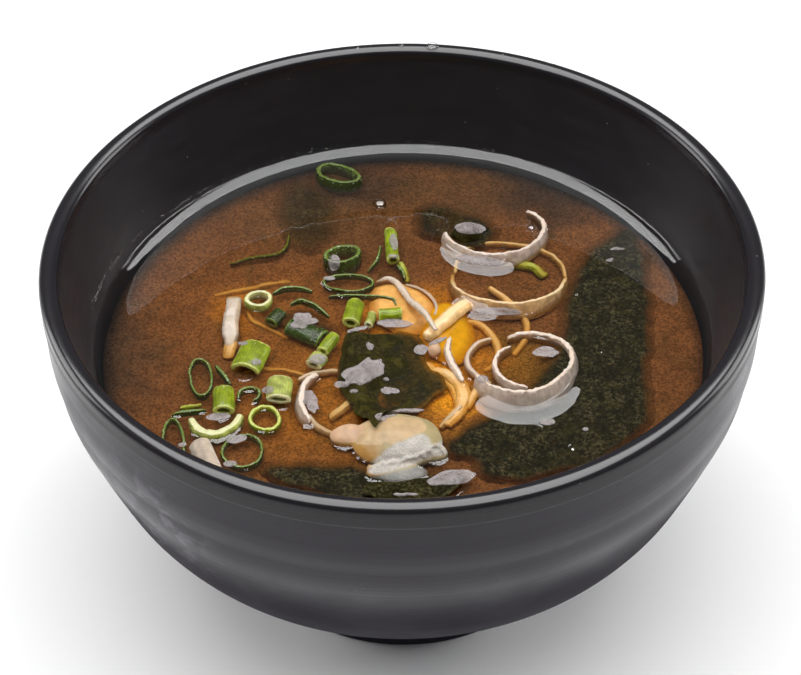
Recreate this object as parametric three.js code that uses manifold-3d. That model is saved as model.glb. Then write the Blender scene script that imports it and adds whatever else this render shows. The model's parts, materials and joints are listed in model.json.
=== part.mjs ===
// Miso soup in its bowl: a lathe-turned bowl, the soup up to its level, and every topping that
// floats in it or breaks its surface. Millimetres, +Z up, the foot stands on z = 0.
import * as THREE from 'three';
import { mergeVertices } from 'three/addons/utils/BufferGeometryUtils.js';
import Module from 'manifold-3d';

const wasm = await Module();
wasm.setup();

// ---- driving dimensions ---------------------------------------------------------------------
const BOWL_R = 60; // outermost radius, at the rim
const RIM_Z = 65.4; // height of the outermost circle
const LIP_ROUND = 1.2; // how far the lip's round top stands above it
const LIP_THICK = 3.2;
const GLOSS_EDGE_Z = 62.7; // step where the glossy lip ends on the outside
const EDGE_STEP = 0.25;
const FOOT_R = 29.3;
const FOOT_WALL = 4.6;
const FOOT_H = 5;
const FOOT_HOLLOW = 3.4; // height of the recess inside the foot
const FOOT_DRAFT = 0.3; // how far the recess narrows upwards
const FOOT_CHAMFER = 0.4;
const BOWL_STEPS = 48; // facets round the bowl
const WALL_PARTS = 2; // facets of the inside wall between two of its named points
const LIP_PARTS = 5; // facets over the lip

const SOUP_Z = 46.8; // flat level of the soup
const WALL_CLIMB = 1.3; // how far the soup creeps up the wall
const GAP = 0.3; // clearance between touching pieces
const WALL_GAP = 1.05 * GAP; // the same from the bowl, whose facets stand proud between corners
const SOUP_TIDY = 0.02; // slivers finer than this are merged out of the cut soup
const RAD = Math.PI / 180;

// Outside bands: radius and height of each ridge, how far the band below it swells, its facets.
const RIDGES = [
  { r: BOWL_R - EDGE_STEP, z: GLOSS_EDGE_Z - EDGE_STEP, swell: 0, parts: 1 },
  { r: 59.7, z: 58.6, swell: 0.55, parts: 3 },
  { r: 57.5, z: 44.5, swell: 0.1, parts: 2 },
  { r: 52.6, z: 31, swell: 0.9, parts: 2 },
  { r: 43.4, z: 19.4, swell: 0.5, parts: 3 },
  { r: FOOT_R + 0.6, z: FOOT_H + 1.2, swell: 0, parts: 1 },
];

// Inside wall, from the lip down to the middle of the floor.
const INSIDE = [
  { r: BOWL_R - LIP_THICK, z: RIM_Z - 0.4 },
  { r: 54.7, z: 56 },
  { r: 52.7, z: SOUP_Z + WALL_CLIMB },
  { r: 50.3, z: 40 },
  { r: 45.6, z: 30 },
  { r: 37, z: 20.4 },
  { r: 22, z: 13 },
  { r: 0, z: 10.4 },
];

const WET_POINT = 2; // the point of INSIDE where the soup's edge clings to the wall

// How far from its edge the soup has climbed which share of WALL_CLIMB.
const MENISCUS = [
  { back: 4, share: 0 },
  { back: 1.8, share: 0.2 },
  { back: 0.7, share: 0.55 },
];

const v2 = (x, y) => new THREE.Vector2(x, y);
const v3 = (x, y, z) => new THREE.Vector3(x, y, z);

// ---- the bowl and the soup ------------------------------------------------------------------

// Points of one outside band: a chord that swells outwards in its middle.
function bandPoints(top, bottom, parts) {
  const across = v2(top.z - bottom.z, bottom.r - top.r).normalize();
  const points = [];
  for (let i = 0; i < parts; i += 1) {
    const t = i / parts;
    const out = top.swell * Math.sin(Math.PI * t);
    const r = top.r + (bottom.r - top.r) * t + across.x * out;
    const z = top.z + (bottom.z - top.z) * t + across.y * out;
    points.push(v2(r, z));
  }
  return points;
}

// The lip's round top, from its outermost circle over to the inside wall.
function lipPoints(steps) {
  const half = LIP_THICK / 2;
  const points = [];
  for (let i = 0; i <= steps; i += 1) {
    const turn = (Math.PI * i) / steps;
    points.push(v2(BOWL_R - half + half * Math.cos(turn), RIM_Z + LIP_ROUND * Math.sin(turn)));
  }
  return points;
}

// The inside wall's points, from the lip to the middle of the floor.
function insidePoints() {
  const curve = new THREE.SplineCurve(INSIDE.map((p) => v2(p.r, p.z)));
  return curve.getPoints((INSIDE.length - 1) * WALL_PARTS);
}

function bowlGeometry() {
  const bands = RIDGES.slice(0, -1);
  const outside = bands.flatMap((ridge, i) => bandPoints(ridge, RIDGES[i + 1], ridge.parts));
  const foot = [
    v2(RIDGES.at(-1).r, RIDGES.at(-1).z),
    v2(FOOT_R, FOOT_H),
    v2(FOOT_R, FOOT_CHAMFER),
    v2(FOOT_R - FOOT_CHAMFER, 0),
    v2(FOOT_R - FOOT_WALL, 0),
    v2(FOOT_R - FOOT_WALL - FOOT_DRAFT, FOOT_HOLLOW),
    v2(0, FOOT_HOLLOW),
  ];
  const profile = [...foot.reverse(), ...outside.reverse(), v2(BOWL_R, GLOSS_EDGE_Z)];
  profile.push(...lipPoints(LIP_PARTS), ...insidePoints().slice(1));
  profile.at(-1).x = 0;
  return lathe(profile, BOWL_STEPS);
}

// The soup fills the bowl up to its level and creeps up the wall at its edge.
function soupGeometry() {
  const points = [v2(0, SOUP_Z)];
  const edge = INSIDE[WET_POINT].r - GAP;
  for (const { back, share } of MENISCUS) {
    points.push(v2(edge - back, SOUP_Z + WALL_CLIMB * share));
  }
  const wall = insidePoints();
  for (let i = WET_POINT * WALL_PARTS; i < wall.length - 1; i += 1) {
    const inwards = v2(wall[i + 1].y - wall[i - 1].y, wall[i - 1].x - wall[i + 1].x).normalize();
    points.push(wall[i].clone().addScaledVector(inwards, WALL_GAP));
  }
  points.push(v2(0, INSIDE.at(-1).z + WALL_GAP));
  return lathe(points.reverse(), BOWL_STEPS);
}

// A turned solid about +Z from a profile of (radius, height) that ends on the axis.
function lathe(profile, steps) {
  const geometry = new THREE.LatheGeometry(profile, steps);
  geometry.rotateX(Math.PI / 2);
  return outwards(geometry);
}

// ---- shared shape makers --------------------------------------------------------------------

// Joins doubled vertices and turns the faces outwards if the solid came out inside out.
function outwards(source) {
  const geometry = source.clone();
  geometry.deleteAttribute('normal');
  geometry.deleteAttribute('uv');
  const merged = mergeVertices(geometry, 1e-4);
  const corner = merged.attributes.position;
  const index = merged.index.array;
  const kept = [];
  let volume = 0;
  for (let i = 0; i < index.length; i += 3) {
    const [a, b, c] = [index[i], index[i + 1], index[i + 2]];
    if (a === b || b === c || a === c) continue;
    kept.push(a, b, c);
    const p = v3().fromBufferAttribute(corner, a);
    const q = v3().fromBufferAttribute(corner, b);
    const r = v3().fromBufferAttribute(corner, c);
    volume += p.dot(q.cross(r));
  }
  merged.setIndex(volume < 0 ? kept.reverse() : kept);
  return merged;
}

function toSolid(geometry) {
  const clean = outwards(geometry);
  return new wasm.Manifold(new wasm.Mesh({
    numProp: 3,
    vertProperties: new Float32Array(clean.attributes.position.array),
    triVerts: new Uint32Array(clean.index.array),
  }));
}

function toGeometry(solid) {
  const mesh = solid.getMesh();
  const geometry = new THREE.BufferGeometry();
  geometry.setAttribute('position', new THREE.BufferAttribute(mesh.vertProperties, 3));
  geometry.setIndex(new THREE.BufferAttribute(mesh.triVerts, 1));
  return geometry;
}

const AHEAD = 0.002; // share of a path over which its direction is measured
const MOST_ROUND = 0.6; // share of a half width that rounding may take

// A band of rectangular section swept along path(t), t from 0 to 1. Its upper edge loses its
// corners by `round`; `grow` makes it fatter on every side, to cut a pocket for it.
function ribbon({ path, steps, closed, wall, tall, round = 0, grow = 0, taper = 1 }) {
  const count = closed ? steps : steps + 1;
  const corners = [];
  const rings = [];
  for (let i = 0; i < count; i += 1) {
    const t = i / steps;
    const ahead = path(closed ? t + AHEAD : Math.min(t + AHEAD, 1));
    const behind = path(closed ? t - AHEAD : Math.max(t - AHEAD, 0));
    const along = ahead.sub(behind).normalize();
    const side = v3(0, 0, 1).cross(along).normalize();
    const up = along.clone().cross(side);
    const thin = closed ? 1 : 1 - (1 - taper) * Math.abs(2 * t - 1) ** 4;
    const a = (wall * thin) / 2 + grow;
    const b = (tall * thin) / 2 + grow;
    const cut = Math.min(round, a * MOST_ROUND);
    const outline = [[a, -b], [a, b - cut], [a - cut, b], [cut - a, b], [-a, b - cut], [-a, -b]];
    const section = round > 0 ? outline : [[a, -b], [a, b], [-a, b], [-a, -b]];
    const centre = path(t);
    if (!closed && i === 0) centre.addScaledVector(along, -grow);
    if (!closed && i === steps) centre.addScaledVector(along, grow);
    rings.push(section.map(([s, u]) => {
      const point = centre.clone().addScaledVector(side, s).addScaledVector(up, u);
      corners.push(point.x, point.y, point.z);
      return corners.length / 3 - 1;
    }));
  }
  const faces = [];
  const size = rings[0].length;
  const last = closed ? count : count - 1;
  for (let i = 0; i < last; i += 1) {
    const here = rings[i];
    const next = rings[(i + 1) % count];
    for (let k = 0; k < size; k += 1) {
      const m = (k + 1) % size;
      faces.push(here[k], next[k], here[m], here[m], next[k], next[m]);
    }
  }
  if (!closed) {
    for (let k = 1; k < size - 1; k += 1) {
      faces.push(rings[0][0], rings[0][k], rings[0][k + 1]);
      faces.push(rings.at(-1)[0], rings.at(-1)[k + 1], rings.at(-1)[k]);
    }
  }
  const geometry = new THREE.BufferGeometry();
  geometry.setAttribute('position', new THREE.Float32BufferAttribute(corners, 3));
  geometry.setIndex(faces);
  return outwards(geometry);
}

const THREEFOLD = 0.6; // size of an oval's threefold wave beside its twofold one

// An uneven oval, or the stretch of it between two angles, as a path of t.
function oval({ rx, ry, from = 0, to = 360, uneven = 0.04, phase = 0 }) {
  return (t) => {
    const turn = (from + (to - from) * t) * RAD;
    const waves = Math.sin(2 * turn + phase) + THREEFOLD * Math.sin(3 * turn - phase);
    const swing = 1 + uneven * waves;
    return v3(rx * swing * Math.cos(turn), ry * swing * Math.sin(turn), 0);
  };
}

// A thin wavy sheet over a closed outline: both faces split into triangles alike.
function sheet({ outline, around, rings, thick, heightAt }) {
  const curve = new THREE.SplineCurve([...outline, outline[0]]);
  const rim = curve.getPoints(around).slice(0, around);
  const middle = v2(0, 0);
  rim.forEach((p) => middle.addScaledVector(p, 1 / around));
  const flat = [middle];
  for (let k = 1; k <= rings; k += 1) {
    rim.forEach((p) => flat.push(middle.clone().lerp(p, k / rings)));
  }
  const corners = [];
  for (const lift of [0, thick]) {
    flat.forEach((p) => corners.push(p.x, p.y, heightAt(p.x, p.y) + lift));
  }
  const far = flat.length;
  const faces = [];
  const pair = (a, b, c) => faces.push(a, c, b, a + far, b + far, c + far);
  for (let i = 0; i < around; i += 1) {
    const j = (i + 1) % around;
    pair(0, 1 + i, 1 + j);
    for (let k = 0; k < rings - 1; k += 1) {
      const [a, b] = [1 + k * around + i, 1 + k * around + j];
      pair(a, a + around, b + around);
      pair(a, b + around, b);
    }
    const [p, q] = [1 + (rings - 1) * around + i, 1 + (rings - 1) * around + j];
    faces.push(p, q, q + far, p, q + far, p + far);
  }
  const geometry = new THREE.BufferGeometry();
  geometry.setAttribute('position', new THREE.Float32BufferAttribute(corners, 3));
  geometry.setIndex(faces);
  return outwards(geometry);
}

// A squashed ball, its half axes as given.
function lump({ at, half, grow = 0, wide = 16, high = 8 }) {
  const geometry = new THREE.SphereGeometry(1, wide, high);
  geometry.rotateX(Math.PI / 2);
  geometry.scale(half[0] + grow, half[1] + grow, half[2] + grow);
  geometry.translate(at[0], at[1], at[2]);
  return outwards(geometry);
}

// ---- placing the toppings -------------------------------------------------------------------

const parts = new THREE.Group();
const pockets = [];

function addMesh(name, geometry, look) {
  const material = new THREE.MeshStandardMaterial({ ...look, name });
  const mesh = new THREE.Mesh(geometry, material);
  mesh.name = name;
  parts.add(mesh);
  return mesh;
}

// Adds a piece that is built about its own origin, and keeps the pocket that the soup gets.
function addPlaced(name, make, place, look) {
  const mesh = addMesh(name, make(0), look);
  mesh.position.copy(place.position);
  mesh.quaternion.copy(place.turned);
  mesh.updateMatrix();
  pockets.push(toSolid(make(GAP).applyMatrix4(mesh.matrix)));
}

// Stands a ring on edge in the soup: `lift` is the height of its top over the soup at its middle,
// and it leans so that the side at `toward` degrees rises by `lean` degrees.
function standing({ at, tall, lift, turn = 0, toward = -90, lean = 0 }) {
  const axis = v3(Math.sin(toward * RAD), -Math.cos(toward * RAD), 0);
  const leaned = new THREE.Quaternion().setFromAxisAngle(axis, lean * RAD);
  const spun = new THREE.Quaternion().setFromAxisAngle(v3(0, 0, 1), turn * RAD);
  const position = v3(at[0], at[1], SOUP_Z + lift - tall / 2);
  return { position, turned: leaned.multiply(spun) };
}

// Lays a tube down with its axis along `along` degrees, its top `lift` over the soup.
function lying({ at, deep, lift, along }) {
  const down = new THREE.Quaternion().setFromAxisAngle(v3(1, 0, 0), -Math.PI / 2);
  const spun = new THREE.Quaternion().setFromAxisAngle(v3(0, 0, 1), (along - 90) * RAD);
  const position = v3(at[0], at[1], SOUP_Z + lift - deep / 2);
  return { position, turned: spun.multiply(down) };
}

function addRing(name, size, look) {
  const { wall, tall, from = 0, to = 360, round = 0.25, steps = 18 } = size;
  const closed = to - from === 360;
  const make = (grow) => ribbon({
    path: oval(size), steps, closed, wall, tall, grow, round: grow ? 0 : round, taper: 0.75,
  });
  addPlaced(name, make, standing(size), look);
}

const PLUG_ROOM = 1.4; // a plug's facets cut its corners, so it is made this much roomier

// A cut length of stalk that lies on its side: a flattened tube, or an arch if it is split.
function addStalk(name, size, look) {
  const { wide, deep, long, wall, from = 0, to = 360, steps = 10 } = size;
  const path = oval({ rx: (wide - wall) / 2, ry: (deep - wall) / 2, from, to, uneven: 0.02 });
  const closed = to - from === 360;
  const make = (grow) => {
    if (grow === 0) return ribbon({ path, steps, closed, wall, tall: long, taper: 0.8 });
    const plug = new THREE.CylinderGeometry(1, 1, long + 2 * grow, steps);
    plug.rotateX(Math.PI / 2);
    return plug.scale(wide / 2 + PLUG_ROOM * grow, deep / 2 + PLUG_ROOM * grow, 1);
  };
  addPlaced(name, make, lying(size), look);
}

// A strand whose points are x, y and the height of its top over the soup.
function addStrand(name, size, look) {
  const { points, wall, tall, steps = 8, round = 0.25, taper = 0.55 } = size;
  const centres = points.map(([x, y, top]) => v3(x, y, SOUP_Z + top - tall / 2));
  const curve = new THREE.CatmullRomCurve3(centres);
  const path = (t) => curve.getPoint(t);
  const make = (grow) => ribbon({
    path, steps, closed: false, wall, tall, grow, taper, round: grow ? 0 : round,
  });
  addPlaced(name, make, { position: v3(0, 0, 0), turned: new THREE.Quaternion() }, look);
}

// ---- colours --------------------------------------------------------------------------------

const LACQUER = { color: 0x29272b, roughness: 0.3, metalness: 0 };
const BROTH = { color: 0x6b4630, roughness: 0.15, metalness: 0 };
const LEEK = { color: 0xcbb9a6, roughness: 0.3, metalness: 0 };
const LEEK_WARM = { color: 0xe2b465, roughness: 0.3, metalness: 0 };
const GREEN = { color: 0x7fa32a, roughness: 0.35, metalness: 0 };
const PALE_GREEN = { color: 0x9db567, roughness: 0.35, metalness: 0 };
const DARK_GREEN = { color: 0x46601f, roughness: 0.35, metalness: 0 };
const SEAWEED = { color: 0x2b2c1d, roughness: 0.3, metalness: 0 };

// ---- leek and onion -------------------------------------------------------------------------

const LEEK_RINGS = {
  leek_ring_back: {
    at: [16.8, 27.4], rx: 9.2, ry: 8.2, from: 186, to: 408, wall: 1.1, tall: 2.9, lift: 1.3,
    toward: -110, lean: 5.5,
  },
  leek_ring_middle: {
    at: [19, 15.3], rx: 9.9, ry: 9.9, wall: 1.1, tall: 3.3, lift: -0.55, lean: 15, phase: 1,
  },
  leek_ring_front: {
    at: [20.3, -8.5], rx: 8.7, ry: 9.2, from: -158, to: 105, wall: 1.2, tall: 4.4, lift: 1.85,
    toward: -80, lean: 9,
  },
  leek_arc_inner: {
    at: [21.4, -7.9], rx: 5.9, ry: 6.2, from: 122, to: 262, wall: 0.9, tall: 2.2, lift: 0.8,
    lean: 6, steps: 10,
  },
  leek_ring_left: {
    at: [-10.9, -15.6], rx: 6.4, ry: 7.6, from: 127, to: 222, wall: 1.3, tall: 3, lift: 0.7,
    toward: 180, lean: 7, steps: 10,
  },
};
for (const [name, size] of Object.entries(LEEK_RINGS)) {
  addRing(name, { steps: 22, round: 0.35, ...size }, LEEK);
}

addStrand('leek_strip', {
  points: [[-29.6, 12.2, -1.1], [-29.4, 8.4, 0.9], [-29.6, 4, 1.2], [-29.5, -1.3, -0.6]],
  wall: 2.8, tall: 1.6, round: 0.5, taper: 0.9,
}, LEEK);
addStrand('leek_strand_back', {
  points: [
    [-4.4, 15.4, -0.4], [-2.2, 15.2, 0.5], [-0.4, 12.4, 1.1], [1.4, 8, 1.7], [3.3, 4, 3],
    [4.7, 1, 3.2], [5.6, -0.8, 2.7],
  ],
  wall: 1.2, tall: 0.9, steps: 12,
}, LEEK);
addStrand('leek_strand_right', {
  points: [[8.2, -0.4, 0.4], [7.6, -3.6, 0.6], [8.3, -7.4, 0.8], [10, -11.3, 0.7]],
  wall: 1.3, tall: 1.4,
}, LEEK);
addStrand('leek_stick', {
  points: [[4.3, -0.6, 1.4], [7.2, 2.8, 1.7], [10.5, 6.9, 1.5], [11.6, 8, 1.1]],
  wall: 2.6, tall: 1.9, round: 0.6, steps: 8, taper: 0.85,
}, LEEK_WARM);
addStalk('leek_rib', {
  at: [-32.2, -29], along: -70, long: 6.8, wide: 3.6, deep: 2.8, wall: 0.9, lift: 1.7,
}, LEEK);

// The big onion chunk: a layered dome with a lobe on its left and one at its foot.
const CHUNK_DOME = { at: [-1, -25.6, SOUP_Z - 0.2], half: [7.6, 6.2, 3.3] };
const CHUNK_LOBES = [
  { at: [-8.7, -24.4, SOUP_Z - 0.3], half: [3.3, 2.6, 2.3] },
  { at: [-1, -31, SOUP_Z - 0.7], half: [4.8, 2.9, 1.9] },
  { at: [4.6, -27.6, SOUP_Z - 0.4], half: [2.6, 1.9, 2] },
];

function chunkSolid(grow) {
  const lobes = CHUNK_LOBES.map((size) => toSolid(lump({ ...size, grow, wide: 12, high: 8 })));
  return lobes.reduce((sum, lobe) => sum.add(lobe), toSolid(lump({ ...CHUNK_DOME, grow })));
}
addMesh('onion_chunk', toGeometry(chunkSolid(0)), LEEK);
pockets.push(chunkSolid(GAP));

const KNOB = { at: [5.4, -3.4, SOUP_Z - 0.1], half: [1.2, 1.5, 1.5], wide: 12, high: 6 };
addMesh('onion_knob', lump(KNOB), LEEK);
pockets.push(toSolid(lump({ ...KNOB, grow: GAP })));

// ---- scallions ------------------------------------------------------------------------------

const SCALLION_RINGS = [
  [{
    at: [-11.6, 44.6], rx: 4.3, ry: 2.7, turn: -40, wall: 0.9, tall: 2.4, lift: 0.9, lean: 8,
  }, DARK_GREEN],
  [{ at: [-9.4, 14.2], rx: 4.2, ry: 2.3, turn: -4, wall: 0.5, tall: 1.3, lift: 0.3 }, DARK_GREEN],
  [{ at: [-22.9, -19.9], rx: 2.3, ry: 2.8, turn: 10, wall: 0.7, tall: 1.5, lift: 0.4 }, GREEN],
  [{ at: [-26.3, -27.4], rx: 3.3, ry: 3.6, turn: -25, wall: 0.55, tall: 1.4, lift: 0.3 }, DARK_GREEN],
  [{ at: [-37.7, -25.4], rx: 1.8, ry: 5.4, turn: 4, wall: 0.5, tall: 1.4, lift: 0.3 }, DARK_GREEN],
  [{ at: [-34.1, -9.7], rx: 1.9, ry: 4.4, turn: 8, wall: 0.5, tall: 1.4, lift: 0.35 }, DARK_GREEN],
  [{
    at: [-10.6, 20.7], rx: 3.1, ry: 2.5, turn: 20, wall: 0.9, tall: 3.2, lift: 1.4, lean: 8,
  }, DARK_GREEN],
  [{ at: [-25.1, 9.6], rx: 2, ry: 1.9, wall: 0.9, tall: 1.8, lift: 0.9 }, PALE_GREEN],
];
const SCALLION_ARCS = [
  [{
    at: [-31, -19.3], rx: 4.1, ry: 4.4, from: 192, to: 358, wall: 1.6, tall: 2.2, lift: 0.9,
  }, PALE_GREEN],
  [{
    at: [-25.8, -14.3], rx: 1.8, ry: 1.7, from: -60, to: 200, wall: 0.6, tall: 1.6, lift: 0.5,
  }, DARK_GREEN],
];
const SCALLION_STRANDS = [
  { wall: 0.7, points: [[-19.4, 8.5, 0.7], [-17.8, 9.1, 0.9], [-15.3, 7.9, 0.8], [-12.8, 5.5, 0.4]] },
  { wall: 0.7, points: [[-22.6, 11.8, 0.3], [-20.5, 12.9, 0.5], [-18, 12.7, 0.6], [-15.8, 12.2, 0.5]] },
  {
    wall: 0.6,
    points: [[-12.8, 10.9, 0.3], [-8.5, 10.7, 0.4], [-4, 10.3, 0.5], [-1.6, 9.4, 0.7], [-1.1, 8, 0.6]],
  },
  { wall: 0.6, points: [[-3.7, 24.2, 0.5], [-4.4, 20.6, 0.3], [-6, 18, -0.1]] },
  { wall: 0.7, points: [[-0.9, 18.9, 0.4], [0, 17.6, 0.3], [0.5, 15.8, -0.1]] },
  { wall: 0.9, points: [[-31.7, -6.9, 0.5], [-30.6, -8.6, 0.5], [-29.1, -11, 0.1]] },
  { wall: 0.8, points: [[-38.3, -18.6, 0.4], [-35.5, -18.3, 0.7], [-32.8, -17.7, 0.4]] },
];
const SCALLION_STALKS = [
  [{ at: [-1.8, 24], along: 93, long: 8.2, wide: 2.3, deep: 2.3, wall: 0.6, lift: 1.4 }, GREEN],
  [{ at: [-8.5, 5.6], along: 80, long: 5.4, wide: 3.1, deep: 2.6, wall: 0.8, lift: 1.8 }, GREEN],
  [{ at: [-5.5, 4.2], along: 78, long: 3.2, wide: 1.5, deep: 1.6, wall: 0.45, lift: 1 }, PALE_GREEN],
  [{ at: [-2.1, 5.2], along: 5, long: 4, wide: 2.4, deep: 2.2, wall: 0.6, lift: 1.6 }, GREEN],
  [{ at: [-12.7, -2.2], along: 62, long: 4.4, wide: 2.3, deep: 2, wall: 0.6, lift: 1.5 }, GREEN],
  [{ at: [-14.6, -6.2], along: 62, long: 2.6, wide: 3, deep: 2.2, wall: 0.7, lift: 1.4 }, PALE_GREEN],
  [{ at: [-29.9, -15.9], along: 92, long: 5.2, wide: 3.7, deep: 2.6, wall: 0.8, lift: 1.8 }, GREEN],
  [{ at: [-20.7, -13.6], along: 88, long: 4.8, wide: 4.3, deep: 2.4, wall: 0.8, lift: 1.8 }, PALE_GREEN],
  [{ at: [-22, 5.5], along: 60, long: 3.2, wide: 2.7, deep: 2, wall: 0.6, lift: 0.8 }, DARK_GREEN],
  [{
    at: [-25.8, -5.2], along: 73, long: 6.4, wide: 5.2, deep: 3.2, wall: 0.9, lift: 1.7, from: 165,
    to: 375,
  }, GREEN],
  [{
    at: [-16.6, 1.7], along: -32, long: 6.8, wide: 4.2, deep: 2.8, wall: 0.8, lift: 0.9, from: 170,
    to: 370,
  }, DARK_GREEN],
];

const numbered = (kind, i) => `scallion_${kind}_${String(i + 1).padStart(2, '0')}`;
SCALLION_RINGS.forEach(([size, look], i) => {
  addRing(numbered('ring', i), { round: 0, steps: 14, phase: i, ...size }, look);
});
SCALLION_ARCS.forEach(([size, look], i) => {
  addRing(numbered('arc', i), { round: 0, steps: 10, ...size }, look);
});
SCALLION_STRANDS.forEach((size, i) => {
  addStrand(numbered('strand', i), { tall: 1.3, steps: 6, round: 0, ...size }, DARK_GREEN);
});
SCALLION_STALKS.forEach(([size, look], i) => {
  addStalk(numbered('stalk', i), size, look);
});

// ---- seaweed --------------------------------------------------------------------------------

const LEAF_THICK = 0.5;
const LEAF_CLEAR = 0.8; // between the leaf and what it lies on
const LEAF_OUTLINE = [
  [-9.4, 1.4], [-6.4, 0.5], [-3.2, 0.9], [-0.4, 0], [1.6, -2.2], [1.5, -5.6], [3.2, -9.6],
  [5.2, -12.8], [4.3, -16], [1.6, -18.4], [-1.6, -19.4], [-3.3, -22.4], [-4.6, -25.4],
  [-5.8, -22.6], [-8, -19.6], [-8.6, -16.6], [-10.6, -12.8], [-11.2, -9.6], [-10.6, -5],
  [-10.3, -1.6],
].map(([x, y]) => v2(x, y));

// Waves that run over a leaf: height, and radians for each millimetre across and along.
const LEAF_WAVES = [
  { high: 0.35, across: 0.75, along: 0, start: 1 },
  { high: 0.3, across: -0.3, along: 0.62, start: 0 },
];
const FRONT_WAVES = [
  { high: 0.25, across: 0.9, along: 0, start: 0 },
  { high: 0.15, across: 0.4, along: 1.3, start: 0 },
];
const LEAF_OVER_SOUP = 0.95;
const FRONT_OVER_SOUP = 0.75;

const swell = (waves, x, y) => waves.reduce(
  (sum, { high, across, along, start }) => sum + high * Math.sin(across * x + along * y + start),
  0,
);

// Height of the leaf's under face: waves over the soup, and it climbs the onion chunk.
function leafHeight(x, y) {
  const [cx, cy, cz] = CHUNK_DOME.at;
  const [hx, hy, hz] = CHUNK_DOME.half.map((half) => half + LEAF_CLEAR);
  const inside = 1 - ((x - cx) / hx) ** 2 - ((y - cy) / hy) ** 2;
  const dome = cz - SOUP_Z + hz * Math.sqrt(Math.max(inside, 0)) + LEAF_CLEAR;
  return SOUP_Z + Math.max(LEAF_OVER_SOUP + swell(LEAF_WAVES, x, y), dome);
}

const FRONT_OUTLINE = [
  [-6.4, -36.6], [-3, -35.6], [0.6, -35.3], [4, -34.9], [7.6, -33.9], [9.6, -35.2],
  [7.4, -38.2], [2.6, -40], [-2.4, -39.8], [-5.8, -38.6],
].map(([x, y]) => v2(x, y));

function frontHeight(x, y) {
  return SOUP_Z + FRONT_OVER_SOUP + swell(FRONT_WAVES, x, y);
}

addMesh('seaweed_leaf', sheet({
  outline: LEAF_OUTLINE, around: 38, rings: 4, thick: LEAF_THICK, heightAt: leafHeight,
}), SEAWEED);
addMesh('seaweed_front', sheet({
  outline: FRONT_OUTLINE, around: 24, rings: 3, thick: LEAF_THICK, heightAt: frontHeight,
}), SEAWEED);

const FOLD = { at: [11.9, 27.2, SOUP_Z - 0.4], half: [2.9, 2.1, 2.2], wide: 12, high: 8 };
addMesh('seaweed_fold', lump(FOLD), SEAWEED);
pockets.push(toSolid(lump({ ...FOLD, grow: GAP })));

// ---- the bowl, and the soup cut round every topping ------------------------------------------

addMesh('bowl', bowlGeometry(), LACQUER);
const soup = pockets.reduce((rest, pocket) => rest.subtract(pocket), toSolid(soupGeometry()));
addMesh('soup', toGeometry(soup.simplify(SOUP_TIDY)), BROTH);

export default parts;
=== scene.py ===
"""A bowl of miso soup with leek rings, scallions and seaweed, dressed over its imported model.

Sizes are millimetres in the model's own frame: the origin is under the middle of the foot, +Z is
up and -Y is the diner's side. They become metres only as a mesh is made.
"""

import itertools
import json
import logging
import math
from dataclasses import dataclass, field, replace
from enum import Enum
from typing import Any, Callable, Sequence

import bpy
import numpy as np
from mathutils import Matrix, Vector
from mathutils.bvhtree import BVHTree
from mathutils.geometry import delaunay_2d_cdt

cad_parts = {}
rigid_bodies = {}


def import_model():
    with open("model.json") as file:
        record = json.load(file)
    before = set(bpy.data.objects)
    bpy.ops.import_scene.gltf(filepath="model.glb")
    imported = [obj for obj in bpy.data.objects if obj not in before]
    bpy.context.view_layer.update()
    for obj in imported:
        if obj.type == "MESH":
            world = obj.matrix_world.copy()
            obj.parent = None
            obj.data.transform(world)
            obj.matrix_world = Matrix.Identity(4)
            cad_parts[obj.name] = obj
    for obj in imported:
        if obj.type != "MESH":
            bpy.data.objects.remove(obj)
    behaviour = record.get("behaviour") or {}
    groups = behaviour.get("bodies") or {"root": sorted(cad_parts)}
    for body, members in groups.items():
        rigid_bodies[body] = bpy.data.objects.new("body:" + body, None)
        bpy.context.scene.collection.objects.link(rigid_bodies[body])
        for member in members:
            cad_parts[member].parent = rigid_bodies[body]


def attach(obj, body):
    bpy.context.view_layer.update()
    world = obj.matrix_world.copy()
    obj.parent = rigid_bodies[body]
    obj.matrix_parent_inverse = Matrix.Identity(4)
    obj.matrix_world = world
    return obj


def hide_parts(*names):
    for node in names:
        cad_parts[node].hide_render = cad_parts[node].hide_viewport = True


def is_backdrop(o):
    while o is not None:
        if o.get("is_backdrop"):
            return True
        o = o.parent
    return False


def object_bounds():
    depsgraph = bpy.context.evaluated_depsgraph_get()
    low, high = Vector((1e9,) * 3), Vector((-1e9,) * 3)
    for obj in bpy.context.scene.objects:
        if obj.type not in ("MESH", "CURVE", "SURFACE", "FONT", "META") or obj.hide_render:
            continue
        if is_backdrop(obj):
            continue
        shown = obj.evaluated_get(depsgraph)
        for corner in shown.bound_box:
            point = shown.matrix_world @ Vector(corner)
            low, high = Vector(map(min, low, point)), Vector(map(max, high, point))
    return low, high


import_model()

LOG = logging.getLogger("miso_soup")
MM = 0.001
SOUP_Z = 46.8
BODY = "root"
# How far a thing shows towards the diner for each millimetre that it lies under the level.
SLANT = 1.19
# Share of a topping's height over the level up to which the soup creeps on it.
CREEP = 0.3
# Spacing of mesh points along a slice, round a stalk's layer and along a strand.
SLICE_STEP = 0.28
STALK_STEP = 0.16
STRAND_STEP = 0.22

Points = np.ndarray
Outline = tuple[tuple[float, float], ...]
Rows = tuple[tuple[float, float, float], ...]
# Gives heights from places and their distances to the rim.
HeightAt = Callable[[Points, Points], Points]


# ---- numbers ----------------------------------------------------------------------------------


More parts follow.
